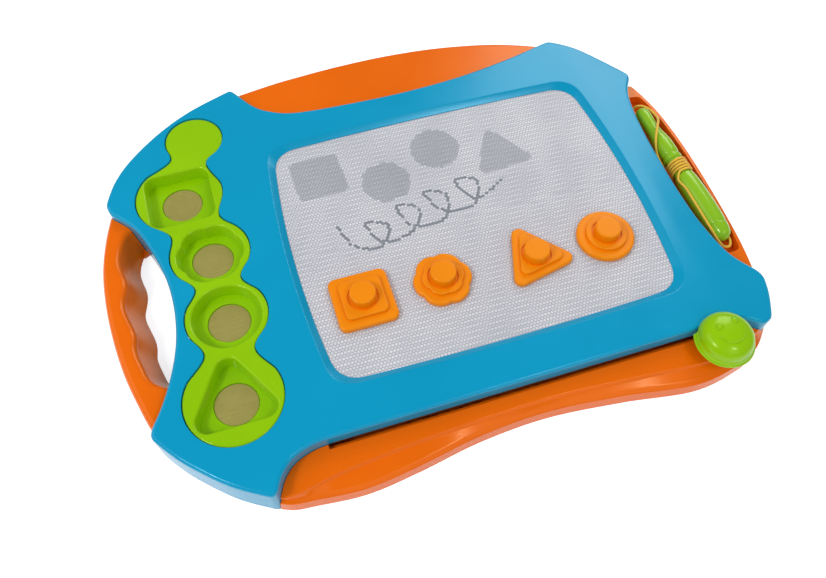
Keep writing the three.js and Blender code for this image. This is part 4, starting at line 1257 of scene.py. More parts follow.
@dataclass
class FrontFrame:
    """The blue frame: a shell round the screen, with the stamp holder's opening and the eraser's slot."""

    shop: Workshop
    rim: float = 0.0024
    wall: float = HEIGHTS.wall
    seat: float = 0.009
    slope_reach: float = 0.0044

    slope_shares = ((0, 0), (0, 0.08), (0.03, 0.13), (0.46, 0.54), (0.9, 0.95), (0.97, 0.988), (1.04, 1))

    def build(self) -> None:
        """Builds the frame."""
        under = HEIGHTS.frame_top - self.wall
        top = rolled(PLAN.frame_outline, HEIGHTS.frame_top, self.rim, 6)
        shell = Solid.stack([(PLAN.frame_outline, HEIGHTS.skirt), *top])
        shell.edit(lower_right(HEIGHTS.frame_top - 2 * self.rim))
        hollow = Solid.prism(inset(PLAN.frame_outline, self.wall), -OVERRUN, under)
        hollow.edit(lower_right(under - OVERRUN))
        seat = Solid.prism(PLAN.pillow(self.seat), HEIGHTS.screen, under + self.wall / 3)
        holder = Solid.prism(lobed(GAP), HEIGHTS.screen - 2 * self.wall, FAR)
        shell.cut(hollow).join(seat).cut(self._window(), holder)
        shell.cut(slot_box(0, -OVERRUN, HEIGHTS.shelf + GAP))
        for run in passages():
            shell.cut(strip(run, 2 * self.wall, -OVERRUN, self.wall + GAP))
        self.shop.set_down(
            "frame_shell", shell, "blue_plastic", "frame_blue", replaces=["front_frame"])

    def _window(self) -> Solid:
        """The window's opening, with a slope from the frame's top down to the screen."""
        rise = HEIGHTS.frame_top - HEIGHTS.screen
        levels = [(PLAN.pillow(0), HEIGHTS.screen - 2 * self.wall)]
        for margin, height in self.slope_shares:
            levels.append((PLAN.pillow(margin * self.slope_reach), HEIGHTS.screen + height * rise))
        levels.append((levels[-1][0], 2 * HEIGHTS.frame_top))
        return Solid.stack(levels)


def front_wall() -> float:
    """Where the frame's straight front wall is."""
    return PLAN.spot((0, PLAN.front_right_shares[0][1])).y


def slot_box(margin: float, low: float, high: float) -> Solid:
    """The eraser's slot, grown by a margin.

    Args:
        margin: how far it is grown.
        low: height of its foot.
        high: height of its top.

    Returns:
        The slot as a solid.
    """
    reach = PLAN.half_x * PLAN.slot_share + margin
    near = front_wall() - PLAN.slot_width - margin
    return Solid.slab((-reach, near, low), (reach, front_wall() + 2 * HEIGHTS.wall, high))


@dataclass
class RearCover:
    """The orange cover: crest, handle, tray and apron round a floor under the frame."""

    shop: Workshop
    wall: float = HEIGHTS.wall
    crest_roll: float = 0.004
    handle_roll: float = 0.0044
    tray_roll: float = 0.0014
    tray_rim: float = 0.003
    tray_front_y: float = -0.0725
    tray_back_y: float = 0.0768
    tray_wear: int = 24
    lip_width: float = 0.0028
    lip_rise: float = 0.0006
    lip_draft: float = 0.0008
    ease: float = 0.0007
    handle_draft: float = 0.007
    web_top: float = 0.0126
    bridge_reach: float = 0.004

    crest_shares = (
        (0.966, 1.669), (0.669, 1.883), (0.318, 2.022), (-0.034, 2.083),
        (-0.39, 2.083), (-0.742, 2.04), (-0.915, 2), (-1.109, 1.946))
    crest_root_shares = ((-1, 1.3), (0.9, 1.3))
    handle_shares = (
        (-1.988, 0.817), (-2.034, 0.645), (-2.068, 0.473), (-2.089, 0.301), (-2.095, 0.086), (-2.087, -0.129),
        (-2.067, -0.344), (-2.04, -0.527), (-2.003, -0.699), (-1.951, -0.903), (-1.9, -1.02))
    grip_shares = (
        (-1.74, -0.72), (-1.89, -0.6), (-1.936, -0.452), (-1.956, -0.323), (-1.945, -0.215), (-1.985, 0.011),
        (-1.951, 0.183), (-1.969, 0.312), (-1.971, 0.409), (-1.936, 0.538), (-1.873, 0.62), (-1.7, 0.67))
    handle_foot_shares = ((-1.82, -1.03), (-1.74, -0.97), (-1.7, -0.82))
    handle_head_shares = ((-1.68, 0.75), (-1.75, 0.86), (-1.88, 0.88))
    tray_shares = (
        (1.97, -1.02), (2.039, -0.968), (2.108, -0.731), (2.149, -0.43), (2.173, -0.054),
        (2.167, 0.269), (2.127, 0.559), (2.059, 0.763), (1.961, 0.946))
    tray_root_shares = ((1.5, 0.946), (1.5, -1.02))
    apron_shares = (
        (-1.405, -1.972), (-1.336, -2.03), (-1.225, -2.057), (-0.958, -2.102), (-0.686, -2.038),
        (-0.336, -1.913), (0.034, -1.874), (0.443, -1.96), (0.833, -2.083), (1.245, -1.994),
        (1.549, -1.858), (1.76, -1.665))
    crease_shares = (
        (-1.405, -1.96), (-1.291, -1.965), (-1.164, -1.915), (-0.964, -1.853), (-0.547, -1.783),
        (0.015, -1.757), (0.39, -1.8), (0.861, -1.883), (1.235, -1.86), (1.549, -1.73), (1.79, -1.6))

    def build(self) -> None:
        """Builds the cover."""
        crest = [*PLAN.run(self.crest_shares, 84), *PLAN.run(self.crest_root_shares, 12)]
        handle = PLAN.run([
            *self.handle_shares, *self.handle_foot_shares, *self.grip_shares, *self.handle_head_shares,
            self.handle_shares[0]], 300)
        crest, handle = softened(crest, PLAN.spacing, 8), softened(handle, PLAN.spacing, 4)
        floor = Solid.prism(inset(PLAN.frame_outline, self.wall + 2 * GAP), 0, self.wall)
        floor.join(
            self._raised(crest, HEIGHTS.crest, self.crest_roll),
            self._raised(handle, HEIGHTS.handle, self.handle_roll, self.handle_draft),
            self._tray(), self._apron(),
            *[strip(run, self.bridge_reach, 0, self.wall) for run in self._bridges()])
        self.shop.set_down(
            "cover_shell", floor, "orange_plastic", "cover_orange", replaces=["rear_cover"])

    @staticmethod
    def _bridges() -> list[list[Vector]]:
        """Where the floor passes out under the skirt, hidden by the raised parts."""
        left, *others = passages()
        return [left[1:5], left[-10:-4], *[run[4:-4] for run in others]]

    def _raised(self, outline: Outline, height: float, roll: float, draft: float = 0.0) -> Solid:
        """A raised part: a shell, open below, that stops short of the frame.

        Args:
            outline: the part's outline at its top.
            height: height of its top.
            roll: radius of its upper edge.
            draft: how far its foot stands out on the side that faces the frame.

        Returns:
            The shell.
        """
        hollow = Solid.prism(inset(outline, self.wall), -OVERRUN, height - self.wall)
        hollow.cut(PLAN.frame_block(GAP + self.wall))
        body = Solid.stack([(leaning(outline, draft), 0), *rolled(outline, height, roll, 7)])
        return body.cut(PLAN.frame_block(GAP), hollow)

    def _recess(self, outline: Outline, margin: float, low: float) -> Solid:
        """The tray's hollow for the pen, grown by a margin."""
        front, back = self.tray_front_y - margin, self.tray_back_y + margin
        root = PLAN.spot(self.tray_root_shares[0]).x
        rim = PLAN.spot(self.tray_shares[0]).x - 2 * self.tray_rim
        line = inset(outline, self.tray_rim - margin)
        walls = [spot for spot in line if front < spot.y < back and spot.x > rim]
        walls += [Vector((root, back)), Vector((root, front))]
        room = Solid.prism(softened(walls, PLAN.spacing / 2, self.tray_wear), low, 2 * HEIGHTS.tray)
        return room.cut(PLAN.frame_block(GAP + HEIGHTS.thin_wall - margin))

    def _tray(self) -> Solid:
        """The pen's tray."""
        run = [*PLAN.run(self.tray_shares, 72), *PLAN.run(self.tray_root_shares, 12)]
        outline = softened(run, PLAN.spacing, 2)
        hollow = Solid.prism(inset(outline, self.wall), -OVERRUN, HEIGHTS.tray - self.wall)
        under = self._recess(outline, self.wall, HEIGHTS.tray_floor - self.wall)
        hollow.cut(PLAN.frame_block(GAP + self.wall), under)
        body = Solid.stack([(outline, 0), *rolled(outline, HEIGHTS.tray, self.tray_roll)])
        return body.cut(PLAN.frame_block(GAP), hollow, self._recess(outline, 0, HEIGHTS.tray_floor))

    def _section(self, foot: Vector, crease: float, depth: float, low: float) -> list[Vector]:
        """The apron's cross section at one place, drawn in by a depth."""
        back, lip = front_wall() + self.wall, foot.y + depth
        fold = max(crease, lip + self.wall)
        step = HEIGHTS.step - HEIGHTS.thin_wall - depth
        ledge = lip + self.lip_width
        face = [
            (back, low), (back, HEIGHTS.shelf - depth), (fold, HEIGHTS.step - depth),
            (fold - HEIGHTS.thin_wall / 2, step), (ledge, HEIGHTS.lip + self.lip_rise - depth),
            (lip, HEIGHTS.lip - self.wall / 2 - depth), (lip - self.lip_draft, low)]
        line = eased([Vector(pair) for pair in face], self.ease)
        return [Vector((foot.x, place.x, place.y)) for place in line]

    def _loft(self, depth: float, low: float) -> Solid:
        """The apron's cross sections side by side."""
        foot = PLAN.run(self.apron_shares, 160)
        crease = PLAN.run(self.crease_shares, 400)
        places = [min(crease, key=lambda place, at=spot: abs(place.x - at.x)).y for spot in foot]
        return Solid.loft([self._section(spot, fold, depth, low) for spot, fold in zip(foot, places)])

    def _apron(self) -> Solid:
        """The apron along the frame's front."""
        first, last = PLAN.spot(self.apron_shares[0]), PLAN.spot(self.apron_shares[-1])
        hollow = self._loft(self.wall, -OVERRUN)
        hollow.keep(Solid.slab((first.x + self.wall, -FAR, -FAR), (last.x - self.wall, 0, FAR)))
        hollow.cut(PLAN.frame_block(GAP + self.wall), slot_box(self.wall, -FAR, HEIGHTS.frame_top))
        body = self._loft(0, 0)
        low_slot = slot_box(0, -OVERRUN, self.web_top - self.wall)
        high_slot = slot_box(0, self.web_top, HEIGHTS.frame_top)
        return body.cut(PLAN.frame_block(GAP), low_slot, high_slot, hollow)


@dataclass
class StampHolder:
    """The green holder: a lobed face with a deep recess and a steel disc for each stamp."""

    shop: Workshop
    wall: float = HEIGHTS.thin_wall
    depth: float = 0.0094
    clearance: float = 0.0023
    roll: float = 0.0012
    flare: float = 0.0017
    disc_radius: float = 0.0133
    disc_thickness: float = 0.0008
    pocket: float = 0.0012
    draft: float = 0.0012

    def build(self) -> None:
        """Builds the holder and its discs."""
        floor = HEIGHTS.holder_top - self.depth
        low = HEIGHTS.frame_top - HEIGHTS.wall - self.wall
        outline = lobed(0)
        body = Solid.stack([(outline, low), *rolled(outline, HEIGHTS.holder_top, self.roll)])
        body.cut(Solid.prism(inset(outline, self.wall), low - OVERRUN, HEIGHTS.holder_top - self.wall))
        cups = [self._stood(shape, self._cup(shape, floor)) for shape in SHAPES]
        body.join(*cups)
        for shape in SHAPES:
            body.cut(self._stood(shape, self._recess(shape, floor)), self._stood(shape, self._pocket(floor)))
            self._disc(shape, floor - self.pocket)
        self.shop.set_down(
            "holder_shell", body, "green_plastic", "holder_green", replaces=["stamp_holder"])

    @staticmethod
    def _stood(shape: StampShape, solid: Solid) -> Solid:
        """A solid moved to a stamp's recess."""
        return solid.moved(Matrix.Translation(PLAN.spot(shape.holder_share).to_3d()))

    def _cup(self, shape: StampShape, floor: float) -> Solid:
        """The outside of a recess."""
        wide = shape.outline(self.clearance + self.wall)
        cup = Solid.prism(wide, floor - self.wall, HEIGHTS.holder_top - self.wall / 2)
        well = circle(self.disc_radius + 2 * self.wall)
        return cup.join(Solid.prism(well, floor - self.pocket - self.wall, floor))

    def _recess(self, shape: StampShape, floor: float) -> Solid:
        """The hollow of a recess, its walls leaning out a little and its rim rolled over."""
        foot, mouth = shape.outline(self.clearance - self.draft), shape.outline(self.clearance)
        rim = rolled(mouth, HEIGHTS.holder_top, self.flare, 6, -1)
        return Solid.stack([(foot, floor), *rim, (rim[-1][0], HEIGHTS.holder_top + OVERRUN)])

    def _pocket(self, floor: float) -> Solid:
        """The round pocket that a disc lies in."""
        return Solid.prism(circle(self.disc_radius + GAP), floor - self.pocket, floor + OVERRUN)

    def _disc(self, shape: StampShape, low: float) -> None:
        """One steel disc, its edge stamped over."""
        edge = self.disc_thickness / 2
        reach, top = self.disc_radius, low + self.disc_thickness
        disc = Solid.turned([(0, low), (reach, low), (reach, top - edge), (reach - edge, top), (0, top)])
        self.shop.set_down(
            f"{shape.name}_disc", self._stood(shape, disc), "stamped_discs", "disc_steel",
            replaces=[f"steel_disc_{shape.name}"])


def inside(outline: Outline, place: Vector) -> bool:
    """Whether a place lies within an outline."""
    crossings = 0
    for start, end in zip(outline, [*outline[1:], outline[0]]):
        if (start.y > place.y) != (end.y > place.y):
            crossings += place.x < start.x + (place.y - start.y) / (end.y - start.y) * (end.x - start.x)
    return crossings % 2 == 1


def extent(outline: Outline) -> tuple[float, float, float, float]:
    """An outline's left, right, front and back."""
    across, along = [place.x for place in outline], [place.y for place in outline]
    return min(across), max(across), min(along), max(along)


@dataclass
class Screen:
    """The erasable screen: a honeycomb drawing face over its core and back."""

    shop: Workshop
    pitch: float = 0.0022
    cell_wall: float = 0.00042
    cell_depth: float = 0.00018
    reach_past: float = 0.003
    line: float = 0.0009
    powder_share: float = 0.5
    mark_share: float = 0.91

    mark_places = ((-0.0865, 0.062), (-0.043, 0.0445), (-0.0016, 0.063), (0.041, 0.0455))
    mark_degrees = (2, 10, 0, 4)
    doodle_shares = (
        (-0.72, 0.2), (-0.66, 0.0), (-0.52, -0.06), (-0.44, 0.1), (-0.56, 0.16), (-0.5, -0.02), (-0.32, 0.0),
        (-0.24, 0.18), (-0.36, 0.24), (-0.3, 0.04), (-0.12, 0.04), (-0.06, 0.24), (-0.18, 0.3), (-0.1, 0.1),
        (0.08, 0.1), (0.14, 0.3), (0.02, 0.34), (0.1, 0.14), (0.3, 0.26))

    def build(self) -> None:
        """Builds the drawing face and dresses the layers under it."""
        low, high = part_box("screen_front_sheet")
        shape = self._honeycomb(PLAN.half_x + self.reach_past, PLAN.half_y + self.reach_past)
        walls = bmesh.ops.inset_individual(
            shape, faces=shape.faces[:], thickness=self.cell_wall / 2, depth=-self.cell_depth,
            use_even_offset=True)
        wall_faces = set(walls["faces"])
        self._paint(shape, wall_faces)
        bmesh.ops.translate(shape, verts=shape.verts, vec=(0, 0, HEIGHTS.screen))
        self._close(shape, low.z - high.z)
        self.shop.set_down(
            "drawing_face", Solid(shape), "drawing_cells", "screen_sheet", replaces=["screen_front_sheet"])
        self.shop.dress("white_core", "screen_honeycomb", "screen_back_sheet")
        self.shop.dress("orange_plastic", "screen_retainer")

    def _honeycomb(self, half_x: float, half_y: float) -> bmesh.types.BMesh:
        """A flat sheet of six-sided cells."""
        shape = bmesh.new()
        radius = self.pitch / math.sqrt(3)
        rise = radius * 1.5
        columns, rows = round(half_x / self.pitch), round(half_y / rise)
        for column in range(-columns, columns + 1):
            place = Matrix.Translation((column * self.pitch, 0, 0))
            bmesh.ops.create_circle(shape, cap_ends=True, radius=radius, segments=6, matrix=place)
        first = shape.faces[:]
        for row in range(-rows, rows + 1):
            if row:
                copied = bmesh.ops.duplicate(shape, geom=first)["geom"]
                place = (row % 2 * self.pitch / 2, row * rise, 0)
                bmesh.ops.translate(shape, verts=verts_of(copied), vec=place)
        bmesh.ops.remove_doubles(shape, verts=shape.verts, dist=self.cell_wall / 4)
        return shape

    def _imprints(self) -> list[Outline]:
        """The marks that the stamps have left."""
        marks = []
        for shape, place, degrees in zip(SHAPES, self.mark_places, self.mark_degrees):
            turn = Matrix.Rotation(math.radians(degrees), 2)
            outline = [point * self.mark_share for point in shape.outline(0)]
            marks.append([turn @ point + Vector(place) for point in outline])
        return marks

    def _paint(self, shape: bmesh.types.BMesh, walls: set[bmesh.types.BMFace]) -> None:
        """Tells each face whether it is a cell's floor, how full of powder it is, and its own tint."""
        layer = shape.loops.layers.float_color.new("cells")
        marks = [(mark, extent(mark)) for mark in self._imprints()]
        stroke = PLAN.run(self.doodle_shares, 420)
        for number, face in enumerate(shape.faces):
            place = face.calc_center_median().to_2d()
            fill = 0.0
            for mark, (left, right, front, back) in marks:
                if left < place.x < right and front < place.y < back and inside(mark, place):
                    fill = self.powder_share
            near = abs(place.y) < PLAN.half_y / 2
            if near and min((place - spot).length_squared for spot in stroke) < self.line**2:
                fill = 1.0
            tint = math.sin(number * SCATTER) * 0.5 + 0.5
            for loop in face.loops:
                loop[layer] = (face not in walls, fill, tint, 1)

    def _close(self, shape: bmesh.types.BMesh, drop: float) -> None:
        """Turns the sheet's rim down and closes its underside."""
        rim = [edge for edge in shape.edges if edge.is_boundary]
        sides = bmesh.ops.extrude_edge_only(shape, edges=rim)["geom"]
        bmesh.ops.translate(shape, verts=verts_of(sides), vec=(0, 0, drop))
        foot = [item for item in sides if isinstance(item, bmesh.types.BMEdge) and item.is_boundary]
        bmesh.ops.edgeloop_fill(shape, edges=foot)


@dataclass
class Stamps:
    """The four stamps that stand on the drawing face."""

    shop: Workshop
    base: float = 0.004
    lift: float = 0.0003
    roll: float = 0.0016
    pedestal: float = 0.0026
    pedestal_share: float = 0.71
    pedestal_roll: float = 0.0008
    knob: float = 0.006
    knob_radius: float = 0.0083
    knob_roll: float = 0.0011
    moat: float = 0.0016
    moat_depth: float = 0.0012
    magnet: float = 0.0016
    magnet_inset: float = 0.0022

    def build(self) -> None:
        """Builds every stamp, and dresses its magnet."""
        for shape in SHAPES:
            body = self._body(shape).moved(Matrix.Translation(PLAN.spot(shape.parked_share).to_3d()))
            self.shop.set_down(
                f"{shape.name}_stamp_body", body, "stamp_plastic", "stamp_orange", f"{shape.name}_stamp",
                replaces=[f"stamp_{shape.name}"])
            self.shop.dress("black_magnet", f"stamp_magnet_{shape.name}")

    def _body(self, shape: StampShape) -> Solid:
        """One stamp: base, pedestal and knob, with a moat round the knob, hollow below."""
        foot = HEIGHTS.screen + self.lift
        base_top = HEIGHTS.screen + self.base
        step = base_top + self.pedestal
        top = step + self.knob
        outline = shape.outline(0, True)
        raised = [point * self.pedestal_share for point in outline]
        body = Solid.stack([(outline, foot), *rolled(outline, base_top, self.roll)])
        body.join(Solid.stack([(raised, base_top - GAP), *rolled(raised, step, self.pedestal_roll)]))
        moat = Solid.prism(circle(self.knob_radius + self.moat), step - self.moat_depth, top)
        knob = circle(self.knob_radius)
        body.cut(moat).join(Solid.stack([(knob, base_top - GAP), *rolled(knob, top, self.knob_roll)]))
        pocket = Solid.prism(
            shape.outline(GAP - self.magnet_inset, True), HEIGHTS.screen, HEIGHTS.screen + self.magnet + GAP)
        bore = circle(self.knob_radius - HEIGHTS.thin_wall)
        return body.cut(pocket, Solid.prism(bore, HEIGHTS.screen, top - HEIGHTS.thin_wall))


@dataclass
class Eraser:
    """The sliding eraser: its bar and magnet under the screen, and its round knob in front."""

    shop: Workshop
    brim: float = 0.0186
    brim_height: float = 0.0018
    dome: float = 0.0166
    rise: float = 0.014
    setback: float = 0.0109
    cavity: float = 0.013
    wall_clearance: float = 0.002
    past_window: float = 0.001
    foot: float = 0.024
    cheek: float = 0.0021
    smile: float = 0.0012
    bead_share: float = 0.55

    dome_shares = ((1, 0.3), (0.985, 0.46), (0.93, 0.62), (0.82, 0.77), (0.62, 0.9), (0.34, 0.975), (0, 1))
    hollow_shares = ((0.844, 0.5), (0.72, 0.7), (0.42, 0.82), (0, 0.86))
    eyes_shares = ((-0.34, 0.26), (0.3, 0.34))
    smile_shares = ((-0.52, -0.08), (-0.34, -0.36), (0, -0.46), (0.34, -0.32), (0.5, 0.0))

    def build(self) -> None:
        """Builds the knob, and dresses the bar, its magnet and its screw."""
        place = Vector((PLAN.half_x + self.past_window, front_wall() - self.setback, 0))
        knob = Solid.turned(self._profile(), 128)
        behind = self.setback - self.wall_clearance
        wide = 2 * self.brim
        for raised in [*self._eyes(), self._smile()]:
            knob.join(raised)
        back = Solid.slab((-wide, behind, 0), (wide, wide, HEIGHTS.frame_top + GAP))
        knob.cut(Solid.turned(self._hollow()), back)
        knob.moved(Matrix.Translation(place))
        self.shop.set_down(
            "knob_dome", knob, "green_plastic", "holder_green", Body.ERASER.value,
            replaces=["eraser_knob"])
        self.shop.dress("orange_plastic", "eraser_bar")
        self.shop.dress("black_magnet", "eraser_magnet")
        self.shop.dress("screw_metal", "eraser_knob_screw")

    def _at(self, share: Share) -> Vector:
        """A place on the dome from a share of its radius and its rise."""
        return Vector((share[0] * self.dome, self.foot + share[1] * self.rise))

    def _profile(self) -> list[Pair]:
        """The knob's outside, from its foot on the axis to its top."""
        edge = self.brim_height / 2
        rim = arc(Vector((self.brim - edge, self.foot + edge)), edge, -FULL_TURN / 4, FULL_TURN / 2, 8)
        neck = Vector((self.dome + (self.brim - self.dome) / 4, self.foot + self.rise / 4))
        dome = smooth_run([neck, *[self._at(share) for share in self.dome_shares]], 30)
        return [(0, self.foot), *[tuple(place) for place in [*rim, *dome]]]

    def _hollow(self) -> list[Pair]:
        """The knob's inside."""
        walls = [tuple(self._at(share)) for share in self.hollow_shares]
        return [(0, self.foot - OVERRUN), (self.cavity, self.foot - OVERRUN), *walls]

    def _surface_height(self, reach: float) -> float:
        """Height of the dome's skin at a distance from its axis."""
        profile = [self._at(share) for share in self.dome_shares]
        for low, high in pairwise(smooth_run(profile, 60)):
            if high.x <= reach <= low.x:
                return low.y
        return self.foot

    def _bead(self, place: Vector, radius: float) -> Solid:
        """A low round bump on the dome."""
        shape = bmesh.new()
        middle = Matrix.Translation((place.x, place.y, self._surface_height(place.length)))
        flat = Matrix.Diagonal((1, 1, self.bead_share, 1))
        bmesh.ops.create_uvsphere(shape, u_segments=24, v_segments=12, radius=radius, matrix=middle @ flat)
        return Solid(shape)

    def _eyes(self) -> list[Solid]:
        """Two round bumps."""
        return [self._bead(Vector(share) * self.dome, self.cheek) for share in self.eyes_shares]

    def _smile(self) -> Solid:
        """A curved ridge below them."""
        run = smooth_run([Vector(share) * self.dome for share in self.smile_shares], 24)
        places = [Vector((spot.x, spot.y, self._surface_height(spot.length))) for spot in run]
        return Solid.loft(tube_rings(places, self.smile / 2, 10))


def tube_rings(path: Sequence[Vector], radius: float, sides: int) -> list[list[Vector]]:
    """Round sections along a path, kept from twisting.

    Args:
        path: the places that the tube follows.
        radius: its radius.
        sides: number of corners round it.

    Returns:
        The corners of each section.
    """
    rings = []
    heading = (path[1] - path[0]).normalized()
    side = heading.orthogonal().normalized()
    for index, place in enumerate(path):
        ahead = (path[min(index + 1, len(path) - 1)] - path[max(index - 1, 0)]).normalized()
        side = heading.rotation_difference(ahead) @ side
        heading = ahead
        across = heading.cross(side)
        turns = [step / sides * FULL_TURN for step in range(sides)]
        rings.append([place + (side * math.cos(turn) + across * math.sin(turn)) * radius for turn in turns])
    return rings


@dataclass
class Pen:
    """The pen in its tray, from its nose to its domed tail, and the cord that is wound on it."""

    shop: Workshop
    length: float = 0.123
    radius: float = 0.008
    nose_reach: float = 0.0434
    tail_reach: float = 0.047
    middle_y: float = -0.0005
    cord_diameter: float = 0.0018
    cord_pitch: float = 0.0024
    cord_turns: float = 4.64
    cord_start_degrees: float = 240
    cord_sides: int = 10
    cord_turn_steps: int = 36

    seat_shares = ((0.42, 0.725), (0.533, 0.725))
    front_shares = (
        (0, 0.42), (0.012, 0.56), (0.03, 0.64), (0.055, 0.67), (0.1, 0.655), (0.145, 0.62), (0.19, 0.66),
        (0.24, 0.78), (0.28, 0.86), (0.32, 0.875), (0.365, 0.86), (0.38, 0.79), (0.396, 0.86), (0.415, 0.84))
    rear_shares = (
        (0.54, 0.87), (0.58, 0.95), (0.66, 1), (0.78, 1), (0.86, 0.95), (0.893, 0.9), (0.903, 0.83),
        (0.913, 0.88), (0.945, 0.81), (0.975, 0.66), (0.992, 0.4), (1, 0.2))
    front_route_shares = (
        (-1.12, -0.1, 0.39), (-1.11, 0.25, 0.33), (-0.86, 0.84, 0.27), (-0.2, 1.02, 0.2),
        (0.55, 0.72, 0.135), (1.02, 0.15, 0.07), (0.85, 0.15, 0.015), (0.4, 0.08, -0.03),
        (-0.06, -0.08, -0.046), (-0.25, -0.3, -0.046))
    tail_route_shares = (
        (-0.98, 0.5, 0.565), (-0.96, 0.68, 0.64), (-0.98, 0.66, 0.75), (-0.97, 0.56, 0.86),
        (-0.86, 0.34, 0.94), (-0.66, 0.02, 0.99), (-0.3, -0.3, 1.028), (0.2, -0.38, 1.034),
        (0.52, -0.3, 1.004))
    plug_shares = (0.56, -0.26, 0.94)
    knot_shares = (-0.27, 0, -0.046)

    @property
    def height(self) -> float:
        """Height of the pen's axis."""
        return HEIGHTS.tray_floor + GAP + self.radius

    @property
    def matrix(self) -> Matrix:
        """Turns the pen's own axes into the board's: aside, up, and from the nose to the tail."""
        slant = self.tail_reach - self.nose_reach
        drop = math.sqrt(self.length**2 - slant**2)
        axis = Vector((slant, -drop, 0)).normalized()
        up = Vector((0, 0, 1))
        turn = Matrix((up.cross(axis), up, axis)).transposed().to_4x4()
        nose = Vector((PLAN.half_x + self.nose_reach, self.middle_y + drop / 2, self.height))
        return Matrix.Translation(nose) @ turn

    def place(self, share: Place) -> Vector:
        """A place from shares of the pen's radius aside and up, and of its length."""
        return Vector((share[0] * self.radius, share[1] * self.radius, share[2] * self.length))

    def _barrel(self, name: str, runs: Sequence[Sequence[Share]], node: str) -> None:
        """One half of the pen, turned from runs of its outline that meet in sharp edges."""
        profile = []
        for run in runs:
            places = [Vector((reach * self.radius, station * self.length)) for station, reach in run]
            if len(run) > 2:
                places = smooth_run(places, 6 * len(places))
            profile += [tuple(place) for place in places]
        profile = [(0, profile[0][1]), *profile, (0, profile[-1][1])]
        solid = Solid.turned(profile, 96).moved(self.matrix)
        self.shop.set_down(name, solid, "pen_plastic", "pen_green", Body.PEN.value, replaces=[node])

    def build(self) -> None:
        """Builds the pen and its cord."""
        seat = self.seat_shares
        seam = (seat[0][0] + seat[1][0]) / 2
        self._barrel("pen_front_half", [self.front_shares, (seat[0], (seam, seat[0][1]))], "pen_front_barrel")
        self._barrel("pen_rear_half", [((seam, seat[0][1]), seat[1]), self.rear_shares], "pen_rear_barrel")
        self.shop.dress("black_magnet", "pen_tip_magnet")
        self.shop.dress("pen_plastic", "pen_tail_plug")
        self._cord()

    def _winding(self) -> list[Vector]:
        """The turns of the cord about the pen, along its own axes."""
        reach = self.seat_shares[0][1] * self.radius + GAP + self.cord_diameter / 2
        middle = (self.seat_shares[0][0] + self.seat_shares[1][0]) / 2 * self.length
        found = []
        steps = round(self.cord_turns * self.cord_turn_steps)
        for step in range(steps + 1):
            turns = self.cord_turns * step / steps
            angle = math.radians(self.cord_start_degrees) + turns * FULL_TURN
            along = middle + (turns - self.cord_turns / 2) * self.cord_pitch
            found.append(Vector((math.cos(angle) * reach, math.sin(angle) * reach, along)))
        return found

    def _lead(
        self, start: Vector, leaving: Vector, places: Sequence[Place], end: Vector,
        arriving: Vector) -> list[Vector]:
        """A free run of the cord between two places, straight for one diameter at both.

        Args:
            start: where it leaves.
            leaving: the direction in which it leaves.
            places: what it passes, as shares of the pen's sizes.
            end: where it arrives.
            arriving: the direction in which it arrives.

        Returns:
            The places along it.
        """
        points = [
            start, start + leaving * self.cord_diameter, *[self.place(share) for share in places],
            end - arriving * self.cord_diameter, end]
        return centripetal(points, MM)

    def _cord(self) -> None:
        """The whole cord: from its knot under the tray, round the pen, and into its plug in the tail."""
        winding = self._winding()
        first, last = winding[0] - winding[1], winding[-1] - winding[-2]
        knot = self.place(self.knot_shares)
        knot.y = HEIGHTS.tray_floor - HEIGHTS.wall - GAP - self.height
        front = self._lead(
            winding[0], first.normalized(), self.front_route_shares, knot, Vector((0, -1, 0)))
        plug = self.place(self.plug_shares)
        tail = self._lead(
            winding[-1], last.normalized(), self.tail_route_shares, plug, Vector((0, 0, -1)))
        path = [*front[::-1], *winding[1:-1], *tail]
        cord = self.shop.set_down(
            "pen_cord", self._tube(path).moved(self.matrix), "braided_cord", "cord_amber", Body.PEN.value,
            replaces=["cord_winding", "cord_front_lead", "cord_tail_lead"])
        self.shop.dress("braided_cord", "cord_knot")

    def _tube(self, path: Sequence[Vector]) -> Solid:
        """The cord's skin, with a map that runs round it and along it."""
        tube = Solid.loft(tube_rings(path, self.cord_diameter / 2, self.cord_sides))
        along = [0.0]
        for start, end in pairwise(path):
            along.append(along[-1] + (end - start).length / self.cord_diameter)

        def change(shape: bmesh.types.BMesh) -> None:
            layer = shape.loops.layers.uv.new("UVMap")
            for face in shape.faces:
                turns = [loop.vert.index % self.cord_sides for loop in face.loops]
                wraps = max(turns) - min(turns) > self.cord_sides / 2
                for loop, turn in zip(face.loops, turns):
                    around = turn + self.cord_sides if wraps and turn < self.cord_sides / 2 else turn
                    loop[layer].uv = (around / self.cord_sides, along[loop.vert.index // self.cord_sides])
        return tube.edit(change)


def centripetal(points: Sequence[Vector], spacing: float) -> list[Vector]:
    """A curve through places that doesn't overshoot where they lie close together.

    Args:
        points: the places.
        spacing: length of a stretch, about.

    Returns:
        The places along the curve.
    """
    padded = [points[0] * 2 - points[1], *points, points[-1] * 2 - points[-2]]
    found = []
    for index in range(1, len(padded) - 2):
        before, start, end, after = padded[index - 1:index + 3]
        gaps = [math.sqrt((b - a).length) for a, b in pairwise((before, start, end, after))]
        middle = (end - start) / gaps[1]
        leave = ((start - before) / gaps[0] - (end - before) / (gaps[0] + gaps[1]) + middle) * gaps[1]
        arrive = (middle - (after - start) / (gaps[1] + gaps[2]) + (after - end) / gaps[2]) * gaps[1]
        steps = max(2, round((end - start).length / spacing))
        found += [glide(start, end, leave, arrive, step / steps) for step in range(steps)]
    return [*found, points[-1]]


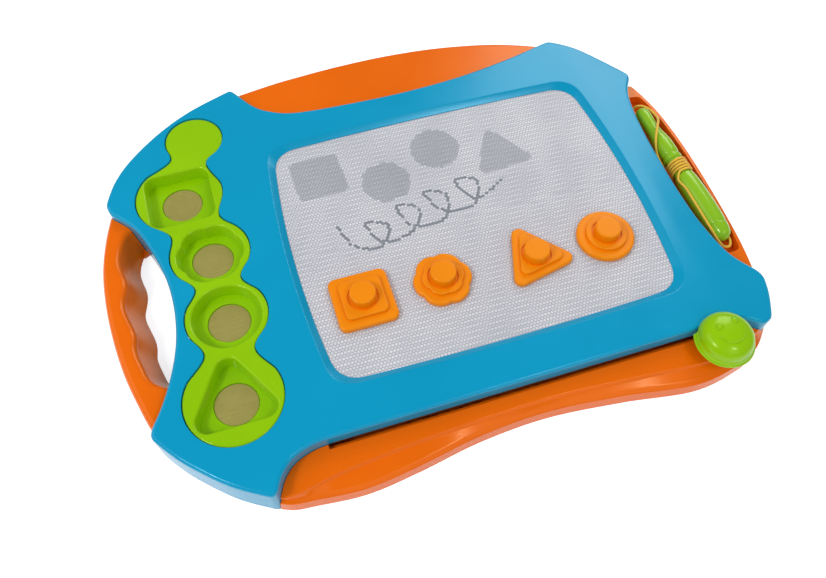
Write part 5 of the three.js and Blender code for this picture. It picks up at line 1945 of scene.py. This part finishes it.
def main() -> None:
    """Builds the studio and the board."""
    logging.basicConfig(level=logging.INFO, format="%(message)s")
    shop = Workshop()
    Eye().build(shop.origin)
    Studio().build(shop.origin)
    for part in (Pen, FrontFrame, RearCover, StampHolder, Screen, Stamps, Eraser):
        part(shop).build()
        LOG.info("%s done", part.__name__)
    screws = [f"retainer_screw_{number}" for number in range(1, 5)]
    shop.dress("screw_metal", *screws, *[f"housing_screw_{number}" for number in range(1, 9)])


if __name__ == "__main__":
    main()
